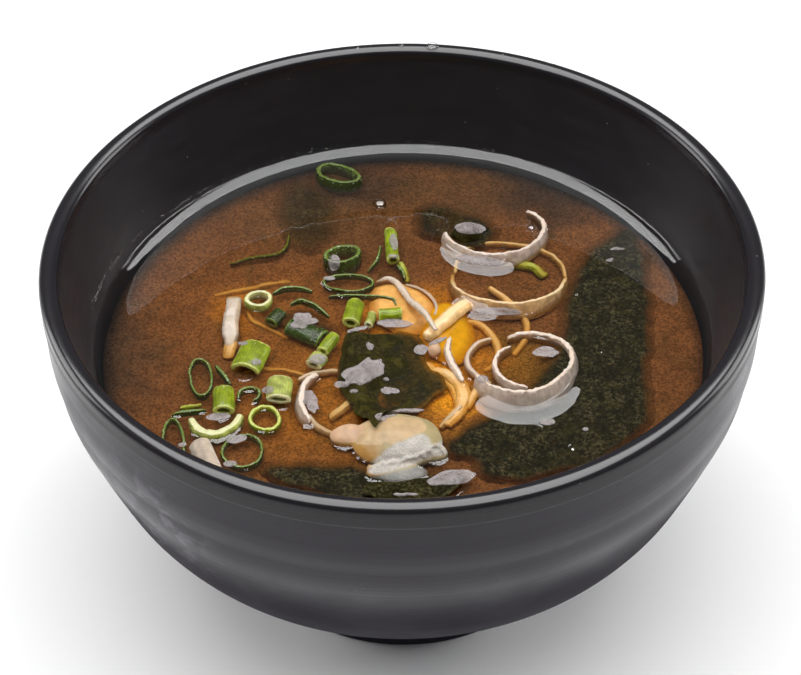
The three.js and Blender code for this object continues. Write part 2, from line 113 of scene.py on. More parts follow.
def linear(code: str) -> tuple[float, float, float, float]:
    """Turns an sRGB hex colour into the linear one that shaders take.

    Args:
        code: The colour as "#rrggbb".

    Returns:
        Linear red, green and blue, and an alpha of 1.
    """
    channels = [int(code[i : i + 2], 16) / 255 for i in (1, 3, 5)]
    low = [c / 12.92 if c <= 0.04045 else ((c + 0.055) / 1.055) ** 2.4 for c in channels]
    return (low[0], low[1], low[2], 1.0)


def smooth(values: Points, low: float, high: float) -> Points:
    """Smooth step from 0 at low to 1 at high."""
    t = np.clip((values - low) / (high - low), 0.0, 1.0)
    return t * t * (3.0 - 2.0 * t)


def ripple(points: Points, size: float, seed: int) -> Points:
    """Smooth seeded noise.

    Args:
        points: Places in millimetres, one a row.
        size: Width of one swell in millimetres.
        seed: Which noise it is.

    Returns:
        One value from -1 to 1 for each place.
    """
    scaled = np.asarray(points, float) / size + seed * 17.13
    if scaled.shape[1] == 2:
        scaled = np.column_stack([scaled, np.full(len(scaled), seed * 3.7)])
    base = np.floor(scaled).astype(np.int64)
    part = scaled - base
    part = part * part * (3.0 - 2.0 * part)
    total = np.zeros(len(scaled))
    for corner in itertools.product((0, 1), repeat=3):
        cell = base + corner
        key = cell[:, 0] * 73856093 ^ cell[:, 1] * 19349663 ^ cell[:, 2] * 83492791
        key = (key ^ seed * 2654435761) & 0xFFFFFFFF
        key = ((key ^ (key >> 13)) * 1274126177) & 0xFFFFFFFF
        value = (key >> 8 & 0xFFFF) / 32767.5 - 1.0
        total += value * np.prod(np.where(corner, part, 1.0 - part), axis=1)
    return total


def spline(points: Sequence[Sequence[float]], count: int, closed: bool = False) -> Points:
    """Even points along a Catmull-Rom curve.

    Args:
        points: The points that the curve passes through, in two or three dimensions.
        count: How many points come back.
        closed: True for a loop, whose first point isn't repeated.

    Returns:
        An array of count rows.
    """
    knots = np.asarray(points, float)
    if closed:
        padded = np.vstack([knots[-1:], knots, knots[:2]])
    else:
        padded = np.vstack([2 * knots[0] - knots[1], knots, 2 * knots[-1] - knots[-2]])
    fine = []
    t = np.linspace(0.0, 1.0, 24, endpoint=False)[:, None]
    for a, b, c, d in zip(padded, padded[1:], padded[2:], padded[3:]):
        bend = 2 * a - 5 * b + 4 * c - d
        fine.append(0.5 * (2 * b + (c - a) * t + bend * t**2 + (3 * b - a - 3 * c + d) * t**3))
    line = np.vstack(fine + [padded[-2:-1]])
    run = np.concatenate([[0.0], np.cumsum(np.linalg.norm(np.diff(line, axis=0), axis=1))])
    marks = np.linspace(0.0, run[-1], count, endpoint=not closed)
    return np.column_stack([np.interp(marks, run, line[:, k]) for k in range(line.shape[1])])


def stops(length: float, spacing: float, least: int) -> int:
    """How many points a line of some length takes."""
    return max(least, int(length / spacing))


def ellipse(at: Sequence[float], half: Sequence[float], count: int = 32) -> Points:
    """Points round an ellipse, x and y."""
    turn = np.linspace(0, 2 * math.pi, count, endpoint=False)
    return np.array(at[:2]) + np.column_stack([np.cos(turn), np.sin(turn)]) * half[:2]


def about(axis: Sequence[float], degrees: float) -> Points:
    """Rotation matrix about an axis through the origin."""
    return np.array(Matrix.Rotation(math.radians(degrees), 3, Vector(axis)))


# ---- meshes -----------------------------------------------------------------------------------


@dataclass
class Shape:
    """A closed mesh in the making.

    Attributes:
        points: Places in millimetres, one a row.
        faces: Triangles, as rows of three point numbers.
        tones: Named values at the points, which the finishes read.
        zones: Which of the piece's finishes each triangle takes.
    """

    points: Points
    faces: Points
    tones: dict[str, Points] = field(default_factory=dict)
    zones: Points | None = None

    def turned(self, turn: Points, shift: Sequence[float]) -> "Shape":
        """Returns the shape turned about the origin and then moved."""
        return Shape(self.points @ turn.T + np.asarray(shift), self.faces, self.tones, self.zones)

    def joined(self, *others: "Shape") -> "Shape":
        """Returns this shape and others as one mesh, with the tones that all of them have."""
        every = [self, *others]
        starts = np.cumsum([0] + [len(s.points) for s in every])
        shared = [name for name in self.tones if all(name in s.tones for s in every)]
        return Shape(
            np.vstack([s.points for s in every]),
            np.vstack([s.faces + start for s, start in zip(every, starts)]),
            {name: np.concatenate([s.tones[name] for s in every]) for name in shared},
        )

    def roughened(self, size: float, amount: float, seed: int, where: Points | float = 1.0) -> "Shape":
        """Moves the points by soft noise.

        Args:
            size: Width of one swell in millimetres.
            amount: The most that a point moves, in millimetres.
            seed: Which noise it is.
            where: How much of it each point gets.

        Returns:
            The same shape, changed.
        """
        moves = [ripple(self.points, size, seed + k) for k in range(3)]
        self.points = self.points + np.column_stack(moves) * amount * np.reshape(where, (-1, 1))
        return self

    def make(self, name: str, *finishes: bpy.types.Material) -> bpy.types.Object:
        """Makes the Blender object.

        Args:
            name: The piece's name.
            finishes: Its materials, in the order of its zones.

        Returns:
            The object, in metres, in the model's frame.
        """
        corners = self.points[self.faces]
        volume = np.einsum("ij,ij->", corners[:, 0], np.cross(corners[:, 1], corners[:, 2]))
        faces = self.faces if volume > 0 else self.faces[:, ::-1]
        mesh = bpy.data.meshes.new(name)
        mesh.from_pydata((self.points * MM).tolist(), [], faces.tolist())
        for tone, values in self.tones.items():
            layer = mesh.attributes.new(tone, "FLOAT", "POINT")
            layer.data.foreach_set("value", np.asarray(values, np.float32))
        for finish in finishes:
            mesh.materials.append(finish)
        if self.zones is not None:
            mesh.polygons.foreach_set("material_index", self.zones.astype(np.int32))
        mesh.shade_smooth()
        mesh.update()
        piece = bpy.data.objects.new(name, mesh)
        bpy.context.scene.collection.objects.link(piece)
        return piece


def net(rows: int, columns: int, loop: bool) -> Points:
    """Triangles of a grid of points whose rows close on themselves.

    Args:
        rows: How many rings there are.
        columns: How many points each ring has.
        loop: True if the last ring joins the first.

    Returns:
        Triangles as rows of three point numbers.
    """
    here = np.arange(rows * columns).reshape(rows, columns)
    after = np.roll(here, -1, axis=0) if loop else here[1:]
    here = here if loop else here[:-1]
    across, after_across = np.roll(here, -1, axis=1), np.roll(after, -1, axis=1)
    first = np.stack([here, after, after_across], -1).reshape(-1, 3)
    second = np.stack([here, after_across, across], -1).reshape(-1, 3)
    return np.vstack([first, second])


def capped(rings: Points, tones: dict[str, Points]) -> Shape:
    """Closes a stack of rings with a middle point at each end."""
    rows, columns = rings.shape[:2]
    points = rings.reshape(-1, 3)
    start, end = rows * columns, rows * columns + 1
    ring = np.arange(columns)
    around = np.roll(ring, -1)
    last = ring + (rows - 1) * columns
    near = np.column_stack([np.full(columns, start), ring, around])
    far = np.column_stack([last, np.full(columns, end), np.roll(last, -1)])
    points = np.vstack([points, rings[0].mean(0), rings[-1].mean(0)])
    faces = np.vstack([net(rows, columns, False), near, far])
    ends = {k: np.append(v.ravel(), [v[0].mean(), v[-1].mean()]) for k, v in tones.items()}
    return Shape(points, faces, ends)


def lathe(profile: Points, steps: int) -> Shape:
    """A solid turned about +Z.

    Args:
        profile: Radius and height of each point, from the axis out and back to the axis.
        steps: Facets round it.

    Returns:
        The solid, with its first and last point on the axis.
    """
    turn = np.linspace(0.0, 2 * math.pi, steps, endpoint=False) + math.pi / 2
    body = profile[1:-1]
    rings = np.empty((len(body), steps, 3))
    rings[..., 0] = body[:, :1] * np.cos(turn)
    rings[..., 1] = body[:, :1] * np.sin(turn)
    rings[..., 2] = body[:, 1:]
    made = capped(rings, {})
    made.points[-2:, 2] = profile[[0, -1], 1]
    return made


def sweep(
    path: Points,
    closed: bool,
    wide: Points | float,
    tall: Points | float,
    around: int = 24,
    square: float = 3.0,
    flare: float = 0.0,
) -> Shape:
    """A band of rounded section carried along a path.

    Args:
        path: Points of the middle line.
        closed: True for a loop.
        wide: Size across the path, level with the ground.
        tall: Size upwards.
        around: Points round the section.
        square: 2 gives a round section, and more gives flatter sides.
        flare: Degrees by which its foot stands out further than its top.

    Returns:
        The band with the tones along (mm on the path), side (-1 inside to 1 outside) and
        lift (-1 at the foot to 1 at the top).
    """
    count = len(path)
    size = np.column_stack([np.broadcast_to(wide, count), np.broadcast_to(tall, count)]) / 2
    ahead = np.roll(path, -1, 0) - np.roll(path, 1, 0) if closed else np.gradient(path, axis=0)
    ahead /= np.linalg.norm(ahead, axis=1, keepdims=True)
    run = np.concatenate([[0.0], np.cumsum(np.linalg.norm(np.diff(path, axis=0), axis=1))])
    if not closed:
        swell = np.array([0.3, 0.65, 0.87, 0.97])
        reach = 0.55 * size.min(1)
        head = path[0] - ahead[0] * reach[0] * (1 - swell[:, None] ** 2) ** 0.5
        tail = path[-1] + ahead[-1] * reach[-1] * (1 - swell[::-1, None] ** 2) ** 0.5
        path = np.vstack([head, path, tail])
        ahead = np.vstack([np.repeat(ahead[:1], 4, 0), ahead, np.repeat(ahead[-1:], 4, 0)])
        size = np.vstack([size[0] * swell[:, None], size, size[-1] * swell[::-1, None]])
        run = np.concatenate([np.full(4, run[0]), run, np.full(4, run[-1])])
    out = np.cross(ahead, [0.0, 0.0, 1.0])
    out /= np.linalg.norm(out, axis=1, keepdims=True)
    up = np.cross(out, ahead)
    turn = np.linspace(0.0, 2 * math.pi, around, endpoint=False)
    side = np.sign(np.cos(turn)) * np.abs(np.cos(turn)) ** (2 / square)
    lift = np.sign(np.sin(turn)) * np.abs(np.sin(turn)) ** (2 / square)
    x, y = size[:, :1] * side, size[:, 1:] * lift
    lean_c, lean_s = math.cos(math.radians(flare)), math.sin(math.radians(flare))
    x, y = x * lean_c - y * lean_s, x * lean_s + y * lean_c
    rings = path[:, None] + out[:, None] * x[..., None] + up[:, None] * y[..., None]
    tones = {
        "along": np.repeat(run[:, None], around, 1),
        "side": np.repeat(side[None], len(path), 0),
        "lift": np.repeat(lift[None], len(path), 0),
    }
    if closed:
        flat = {name: values.ravel() for name, values in tones.items()}
        return Shape(rings.reshape(-1, 3), net(len(path), around, True), flat)
    return capped(rings, tones)


def ball(at: Sequence[float], half: Sequence[float], wide: int = 48, high: int = 28) -> Shape:
    """A squashed ball of given half axes, ready to be pushed out of its plain form."""
    tilt = np.linspace(-math.pi / 2, math.pi / 2, high + 2)
    profile = np.column_stack([np.cos(tilt), np.sin(tilt)])
    made = lathe(profile, wide)
    made.points = made.points * np.asarray(half) + np.asarray(at)
    return made


def fused(shape: Shape, voxel: float, rounds: int) -> Shape:
    """Melts overlapping solids into one skin.

    Args:
        shape: Solids that may cross.
        voxel: Size of the finest detail kept, in millimetres.
        rounds: How often the skin is smoothed.

    Returns:
        One closed mesh.
    """
    rough = shape.make("melt")
    remesh = rough.modifiers.new("melt", "REMESH")
    remesh.mode = "VOXEL"
    remesh.voxel_size = voxel * MM
    soften = rough.modifiers.new("soften", "SMOOTH")
    soften.iterations = rounds
    solved = rough.evaluated_get(bpy.context.evaluated_depsgraph_get())
    mesh = bpy.data.meshes.new_from_object(solved)
    mesh.calc_loop_triangles()
    points = np.empty(len(mesh.vertices) * 3)
    mesh.vertices.foreach_get("co", points)
    faces = np.empty(len(mesh.loop_triangles) * 3, np.int32)
    mesh.loop_triangles.foreach_get("vertices", faces)
    bpy.data.objects.remove(rough)
    bpy.data.meshes.remove(mesh)
    return Shape(points.reshape(-1, 3) / MM, faces.reshape(-1, 3))


def inside(points: Points, rim: Points) -> Points:
    """Tells which points lie inside a closed outline."""
    a, b = rim, np.roll(rim, -1, 0)
    x, y = points[:, :1], points[:, 1:2]
    above = (a[:, 1] > y) != (b[:, 1] > y)
    rise = np.where(b[:, 1] == a[:, 1], 1e-9, b[:, 1] - a[:, 1])
    crossing = (b[:, 0] - a[:, 0]) * (y - a[:, 1]) / rise + a[:, 0]
    return (above & (x < crossing)).sum(1) % 2 == 1


def nearest(points: Points, others: Points) -> Points:
    """Distance from each point to the nearest of the others, in the level plane."""
    gaps = [
        np.linalg.norm(block[:, None, :2] - others[None, :, :2], axis=2).min(1)
        for block in np.array_split(points, max(1, len(points) * len(others) // 2_000_000))
    ]
    return np.concatenate(gaps)


def between(faces: Points, upper: Points, under: Points, tones: dict[str, Points]) -> Shape:
    """Closes the room between two faces that have the same triangles.

    Args:
        faces: The triangles of the upper face.
        upper: Its points.
        under: The points under them.
        tones: Named values at the points.

    Returns:
        The closed sheet.
    """
    count = len(upper)
    sides = np.sort(np.vstack([faces[:, [0, 1]], faces[:, [1, 2]], faces[:, [2, 0]]]), axis=1)
    once, uses = np.unique(sides, axis=0, return_counts=True)
    open_sides = {tuple(pair) for pair in once[uses == 1]}
    walls = []
    for a, b, c in faces:
        for p, q in ((a, b), (b, c), (c, a)):
            if (min(p, q), max(p, q)) in open_sides:
                walls += [(q, p, p + count), (q, p + count, q + count)]
    every = np.vstack([faces, faces[:, ::-1] + count, np.array(walls)])
    both = {name: np.tile(values, 2) for name, values in tones.items()}
    return Shape(np.vstack([upper, under]), every, both)


@dataclass(frozen=True)
class Sheet:
    """A thin wavy leaf over a closed outline.

    Attributes:
        outline: Points of its rim, x and y.
        thick: Thickness in its middle.
        ragged: How far the rim wanders in and out.
        spacing: Distance between mesh points.
        seed: Which noise it takes.
        grow: How far the rim is moved outwards.
    """

    outline: Sequence[tuple[float, float]]
    thick: float = 0.4
    ragged: float = 0.35
    spacing: float = 0.6
    seed: int = 1
    grow: float = 0.0

    def laid(self) -> tuple[Points, Points, Points]:
        """Returns its points laid flat, its triangles and each point's distance to the rim."""
        loop = np.asarray(list(self.outline) + [self.outline[0]], float)
        length = np.linalg.norm(np.diff(loop, axis=0), axis=1).sum()
        rim = spline(self.outline, int(length / self.spacing), closed=True)
        ahead = np.roll(rim, -1, 0) - np.roll(rim, 1, 0)
        out = np.column_stack([ahead[:, 1], -ahead[:, 0]])
        out /= np.linalg.norm(ahead, axis=1, keepdims=True)
        after = np.roll(rim, -1, 0)
        spin = np.sign(np.sum(rim[:, 0] * after[:, 1] - after[:, 0] * rim[:, 1]))
        rim = rim + out * self.grow * spin
        for size, share in ((3.2, 0.65), (1.1, 0.35)):
            wander = [ripple(rim, size, self.seed + k) for k in (5, 6)]
            rim = rim + np.column_stack(wander) * self.ragged * share
        low, high = rim.min(0), rim.max(0)
        gx, gy = np.meshgrid(
            np.arange(low[0], high[0], self.spacing),
            np.arange(low[1], high[1], self.spacing * 0.87),
        )
        gx[1::2] += self.spacing / 2
        grid = np.column_stack([gx.ravel(), gy.ravel()])
        grid = grid[inside(grid, rim)]
        grid = grid[nearest(grid, rim) > self.spacing * 0.6]
        flat = np.vstack([rim, grid])
        n = len(rim)
        loop_edges = [(i, (i + 1) % n) for i in range(n)]
        solved = delaunay_2d_cdt([Vector(p) for p in flat], loop_edges, [], 1, 1e-5)
        flat = np.array([tuple(p) for p in solved[0]])
        return flat, np.array(solved[2]), nearest(flat, rim)

    def build(self, height: HeightAt) -> Shape:
        """Builds the leaf.

        Args:
            height: Gives the height of its middle face.

        Returns:
            The closed leaf with the tone edge (mm from the rim).
        """
        flat, faces, edge = self.laid()
        middle = height(flat, edge)
        part = self.thick / 2 * np.sqrt(smooth(edge, -0.08, 1.2))
        upper, under = (np.column_stack([flat, z]) for z in (middle + part, middle - part))
        return between(faces, upper, under, {"edge": edge})


@dataclass(frozen=True)
class Footprint:
    """Where a topping breaks the level, for the soup to climb it.

    Attributes:
        points: Points of its middle line or of its rim, x and y.
        half: Half its width round those points.
        climb: How high the soup creeps up at each point.
        reach: Distance over which that fades.
    """

    points: Points
    half: float
    climb: Points
    reach: float = 1.4

    @classmethod
    def within(cls, rim: Points, climb: float) -> "Footprint":
        """Returns the footprint of what fills an outline, with the same climb all round."""
        return cls(rim, 0.0, np.full(len(rim), climb))


def settle(piece: bpy.types.Object, slot: str, *nodes: str) -> None:
    """Hangs a piece on the bowl's body and hides what it stands for."""
    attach(piece, BODY)
    if nodes:
        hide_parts(*nodes)
    LOG.info("%s: %d triangles", piece.name, len(piece.data.polygons))


# ---- finishes ---------------------------------------------------------------------------------


# Index of refraction of the broth, and of the film that it leaves.
BROTH_IOR = 1.33
FILM_IOR = 1.36
# How far red, green and blue light soak into flesh, as shares of its own scale.
SOAK = (1.0, 0.6, 0.3)


class Graph:
    """The node tree of one material."""

    def __init__(self, name: str) -> None:
        """Starts an empty material of that name."""
        self.material = bpy.data.materials.new(name)
        self.material.use_nodes = True
        self.tree = self.material.node_tree
        self.tree.nodes.clear()

    def add(self, kind: str, wires: dict[Any, Any] | None = None, **settings: Any) -> bpy.types.Node:
        """Adds a node.

        Args:
            kind: The node's type, without its ShaderNode prefix.
            wires: What goes into its inputs: a number, a colour, a socket or a whole node,
                whose first output is then taken.
            settings: The node's own options.

        Returns:
            The node.
        """
        node = self.tree.nodes.new("ShaderNode" + kind)
        for option, value in settings.items():
            setattr(node, option, value)
        for key, value in (wires or {}).items():
            source = value.outputs[0] if isinstance(value, bpy.types.Node) else value
            if isinstance(source, bpy.types.NodeSocket):
                self.tree.links.new(source, node.inputs[key])
            else:
                node.inputs[key].default_value = source
        return node

    def places(self) -> bpy.types.Node:
        """Adds the place in the model, in millimetres."""
        raw = self.add("TexCoord").outputs["Object"]
        return self.add("VectorMath", {0: raw, 1: (1 / MM,) * 3}, operation="MULTIPLY")

    def tone(self, name: str) -> bpy.types.NodeSocket:
        """Adds one of the mesh's named values."""
        return self.add("Attribute", attribute_name=name).outputs["Fac"]

    def ranged(self, value: Any, start: float, end: float, low: float = 0.0, high: float = 1.0) -> Any:
        """Maps start to end smoothly onto low to high."""
        sizes = {"Value": value, "From Min": start, "From Max": end, "To Min": low, "To Max": high}
        return self.add("MapRange", sizes, interpolation_type="SMOOTHSTEP").outputs["Result"]

    def noise(
        self, place: Any, scale: float, detail: float, rough: float = 0.5, distortion: float = 0.0
    ) -> bpy.types.NodeSocket:
        """Adds cloudy noise.

        Args:
            place: Where.
            scale: How many swells there are in a millimetre.
            detail: How many finer noises lie on it.
            rough: How strong those are.
            distortion: How far it is stirred.

        Returns:
            The socket of its value, from 0 to 1.
        """
        sizes = {"Vector": place, "Scale": scale, "Detail": detail}
        return self.add("TexNoise", sizes | {"Roughness": rough, "Distortion": distortion}).outputs["Fac"]

    def cells(self, place: Any, width: float) -> bpy.types.NodeSocket:
        """Adds the distance to the middle of the nearest cell, in cell widths."""
        return self.add("TexVoronoi", {"Vector": place, "Scale": 1 / width}).outputs["Distance"]

    def height(self, place: Any) -> bpy.types.NodeSocket:
        """Adds the height of a place."""
        return self.add("SeparateXYZ", {0: place}).outputs["Z"]

    def math(self, operation: str, *values: Any) -> bpy.types.NodeSocket:
        """Adds a calculation with numbers."""
        return self.add("Math", dict(enumerate(values)), operation=operation).outputs[0]

    def vector(self, operation: str, *values: Any) -> bpy.types.NodeSocket:
        """Adds a calculation with places, which gives a number if it measures."""
        made = self.add("VectorMath", dict(enumerate(values)), operation=operation)
        return made.outputs["Value" if operation in ("DISTANCE", "LENGTH") else "Vector"]

    def scaled(self, value: Any, by: Any) -> bpy.types.NodeSocket:
        """Adds a colour or a place times a number."""
        return self.add("VectorMath", {0: value, "Scale": by}, operation="SCALE").outputs["Vector"]

    def mix(self, share: Any, first: Any, second: Any) -> bpy.types.NodeSocket:
        """Adds a mix of two colours, each a socket, a linear colour or an sRGB code."""
        wires = {"Fac": share, "Color1": first, "Color2": second}
        ready = {key: linear(value) if isinstance(value, str) else value for key, value in wires.items()}
        return self.add("MixRGB", ready).outputs["Color"]

    def bump(self, height: Any, strength: float, distance: float) -> bpy.types.NodeSocket:
        """Adds relief, whose depth is given in metres."""
        wires = {"Height": height, "Strength": strength, "Distance": distance}
        return self.add("Bump", wires).outputs["Normal"]

    def blend(self, share: Any, first: Any, second: Any) -> bpy.types.Node:
        """Adds a mix of two shaders."""
        return self.add("MixShader", {0: share, 1: first, 2: second})

    def gloss(self, rough: float, **wires: Any) -> bpy.types.Node:
        """Adds a colourless mirror of some roughness."""
        return self.add("BsdfGlossy", {"Color": (1.0, 1.0, 1.0, 1.0), "Roughness": rough, **wires})

    def plain(self, wires: dict[str, Any]) -> bpy.types.Material:
        """Finishes the material with a plain Principled shader."""
        return self.finished(self.add("BsdfPrincipled", wires))

    def finished(self, shader: Any) -> bpy.types.Material:
        """Joins the shader to the output and returns the material."""
        self.add("OutputMaterial", {"Surface": shader})
        return self.material


@dataclass(frozen=True)
class Glow:
    """A patch of broth with a shade painted into it: golden ones are painted glow round pale toppings, dark
    ones by the wall painted shade.

    Attributes:
        at: Its middle, x and y.
        reach: Its half sizes, where it ends.
        colour: The painted glow or painted shade that it lays on the broth.
        strength: How fully it covers.
    """

    at: tuple[float, float]
    reach: tuple[float, float]
    colour: str
    strength: float


@dataclass(frozen=True)
class Broth:
    """Dashi clouded with miso: fine brown paste hangs in it, so the eye sees a few millimetres in.

    Pale toppings turn golden, then orange, and are lost in brown as they sink. Golden glow round
    the pale toppings and shade by the wall are painted into its colour.

    Attributes:
        brown: Its shade where nothing else colours it.
        drift: Colour of the painted shade in its drifts.
        wall: Colour of the painted shade by the wall.
        wall_shade_at: Middle of the round outside which the wall's shade is painted.
        thin: Radii between which that painted shade sets in.
        grain: Width of a clump of paste.
        grainy: Brightness between the clumps and on them.
        swirl: Least and most brightness of its swirls.
        bend: How far its currents bend the patches.
        loss: Share of red, green and blue that is lost in each millimetre.
        start: Depth at which that starts.
        glows: Its patches of painted glow and painted shade.
    """

    brown: str = "#6a4222"
    drift: str = "#3c3014"
    wall: str = "#161616"
    wall_shade_at: tuple[float, float, float] = (0.6, -3.0, 0.0)
    thin: tuple[float, float] = (48.2, 53.2)
    grain: float = 0.42
    grainy: tuple[float, float] = (1.36, 0.56)
    swirl: tuple[float, float] = (0.93, 1.19)
    bend: float = 14.0
    loss: tuple[float, float, float] = (0.1, 0.45, 1.5)
    start: float = 0.15
    glows: tuple[Glow, ...] = (
        Glow((-14, 32), (26, 14), "#543a20", 0.75),
        Glow((14, 40), (30, 12), "#52381f", 0.8),
        Glow((-20, 4), (24, 20), "#7c4b1e", 0.8),
        Glow((-12, -17), (27, 23), "#8a541a", 0.9),
        Glow((20, -8), (13, 13), "#764f1a", 0.9),
        Glow((3, -4), (17, 21), "#bb6f10", 1.0),
        Glow((4, -8), (12, 15), "#c47c14", 0.9),
        Glow((0, 6), (10, 10), "#cc8014", 0.7),
        Glow((6.5, -17), (9, 9), "#d48c1a", 0.9),
        Glow((29, 38), (17, 13), "#30241a", 0.85),
        Glow((-9, 42), (16, 9), "#33261a", 0.8),
        Glow((-29.5, 7), (6, 11), "#a5641a", 0.8),
        Glow((46, -6), (9, 26), "#643d20", 0.6),
        Glow((-50, -4), (10, 30), "#4a3524", 0.9),
    )

    def seen(self, g: Graph) -> bpy.types.Node:
        """Adds the place where the diner sees a sunk point through the level, in millimetres."""
        place = g.places()
        sunk = g.math("MAXIMUM", g.math("SUBTRACT", SOUP_Z, g.height(place)), 0.0)
        nearer = g.add("CombineXYZ", {"Y": g.math("MULTIPLY", sunk, SLANT)})
        return g.vector("SUBTRACT", place, nearer)

    def colour(self, g: Graph) -> bpy.types.NodeSocket:
        """Adds the broth's colour at each place, with its painted glow and painted shade.

        Args:
            g: The material's node tree.

        Returns:
            The colour's socket.
        """
        place = self.seen(g)
        drift = g.add("TexNoise", {"Vector": place, "Scale": 0.12, "Detail": 2.0})
        bent = g.vector("SUBTRACT", drift.outputs["Color"], (0.5, 0.5, 0.5))
        place_bent = g.vector("MULTIPLY_ADD", bent, (self.bend, self.bend, 0.0), place)
        shade: Any = linear(self.brown)
        # Painted light and shade: golden patches paint glow round the pale toppings, and dark ones paint
        # shade by the wall.
        for glow in self.glows:
            away = g.vector("SUBTRACT", place_bent, (*glow.at, 0.0))
            ratio = (1 / glow.reach[0], 1 / glow.reach[1], 0.0)
            far = g.vector("LENGTH", g.vector("MULTIPLY", away, ratio))
            cover = g.ranged(far, 1.0, 0.15, 0.0, glow.strength)
            shade = g.mix(cover, shade, glow.colour)
        # Painted shade: drifts of some 6 mm are darkened towards olive, as clouds of shadow from the
        # seaweed.
        drifts = g.noise(place, 0.16, 6.0, rough=0.62, distortion=0.6)
        painted_drift_shade = g.ranged(drifts, 0.52, 0.7, 0.0, 0.42)
        shade = g.mix(painted_drift_shade, shade, self.drift)
        # Painted shade: towards the wall, round a middle set off to one side, the broth is darkened to the
        # wall's shade.
        level = g.vector("MULTIPLY", place, (1.0, 1.0, 0.0))
        thin = g.ranged(g.vector("DISTANCE", level, self.wall_shade_at), *self.thin, 0.0, 0.97)
        shade = g.mix(thin, shade, self.wall)
        # Clumps of paste are 0.2 to 0.5 mm across, and smaller ones would be lost in the render.
        clumps = g.noise(place, 1 / self.grain, 3.0, rough=0.7)
        stirred = g.noise(place, 0.3, 3.0)
        light = g.ranged(clumps, 0.36, 0.66, *self.grainy)
        return g.scaled(shade, g.math("MULTIPLY", light, g.ranged(stirred, 0.3, 0.7, *self.swirl)))

    def steep(self, g: Graph, colour: Any, clouding: float) -> bpy.types.NodeSocket:
        """Tints a topping's colour by how far under the level it lies.

        Args:
            g: The material's node tree.
            colour: The topping's own colour.
            clouding: Share of the view that the paste closes in the first millimetre.

        Returns:
            The socket of the colour as it shows through the soup.
        """
        under = g.math("SUBTRACT", SOUP_Z - self.start, g.height(g.places()))
        deep = g.math("MAXIMUM", under, 0.0)
        rates = (*self.loss, clouding)
        *passed, clear = (g.math("EXPONENT", g.math("MULTIPLY", deep, -rate)) for rate in rates)
        filtered = g.add("CombineColor", dict(enumerate(passed)))
        wires = {"Fac": 1.0, "Color1": colour, "Color2": filtered}
        tinted = g.add("MixRGB", wires, blend_type="MULTIPLY")
        return g.mix(clear, self.colour(g), tinted)


BROTH = Broth()


@dataclass(frozen=True)
class GlossLacquer:
    """Moulded ABS sprayed with gloss urethane: deep black, with a clear mirror on every curve.

    Attributes:
        name: The material's name.
        black: Its colour.
        worn: Its colour where it was wiped.
        fleck: Colour of a dried fleck of soup.
        lip: Heights between which hands and cloths have polished it.
        lip_rough: Its roughness there.
    """

    name: str = "lacquered_abs_gloss"
    black: str = "#171518"
    worn: str = "#1e1c20"
    fleck: str = "#8d8a88"
    lip: tuple[float, float] = (63.5, 65.2)
    lip_rough: float = 0.18

    def material(self) -> bpy.types.Material:
        """Makes the finish, with wipe marks, dust and dried flecks of soup."""
        g = Graph(self.name)
        place = g.places()
        wiped = g.vector("MULTIPLY", place, (0.12, 0.12, 0.5))
        haze = g.noise(wiped, 1.0, 4.0)
        tint = g.mix(haze, self.black, self.worn)
        # One fleck in each 3 mm, of which one in five shows, about 0.15 mm across.
        flecks = g.add("TexVoronoi", {"Vector": place, "Scale": 1 / 2.8})
        close = g.ranged(flecks.outputs["Distance"], 0.06, 0.035)
        chosen = g.math("GREATER_THAN", flecks.outputs["Color"], 0.62)
        shown = g.math("MULTIPLY", g.math("MULTIPLY", close, chosen), 0.5)
        hazed = g.ranged(haze, 0.35, 0.7, 0.38, 0.44)
        polished = g.ranged(g.height(place), *self.lip)
        wires = {
            "Base Color": g.mix(shown, tint, self.fleck),
            "Roughness": g.add("Mix", {"Factor": polished, "A": hazed, "B": self.lip_rough}),
            "IOR": 1.5,
            "Specular IOR Level": 0.25,
            "Normal": g.bump(g.noise(place, 0.35, 2.0), 0.2, 0.00003),
        }
        return g.plain(wires)


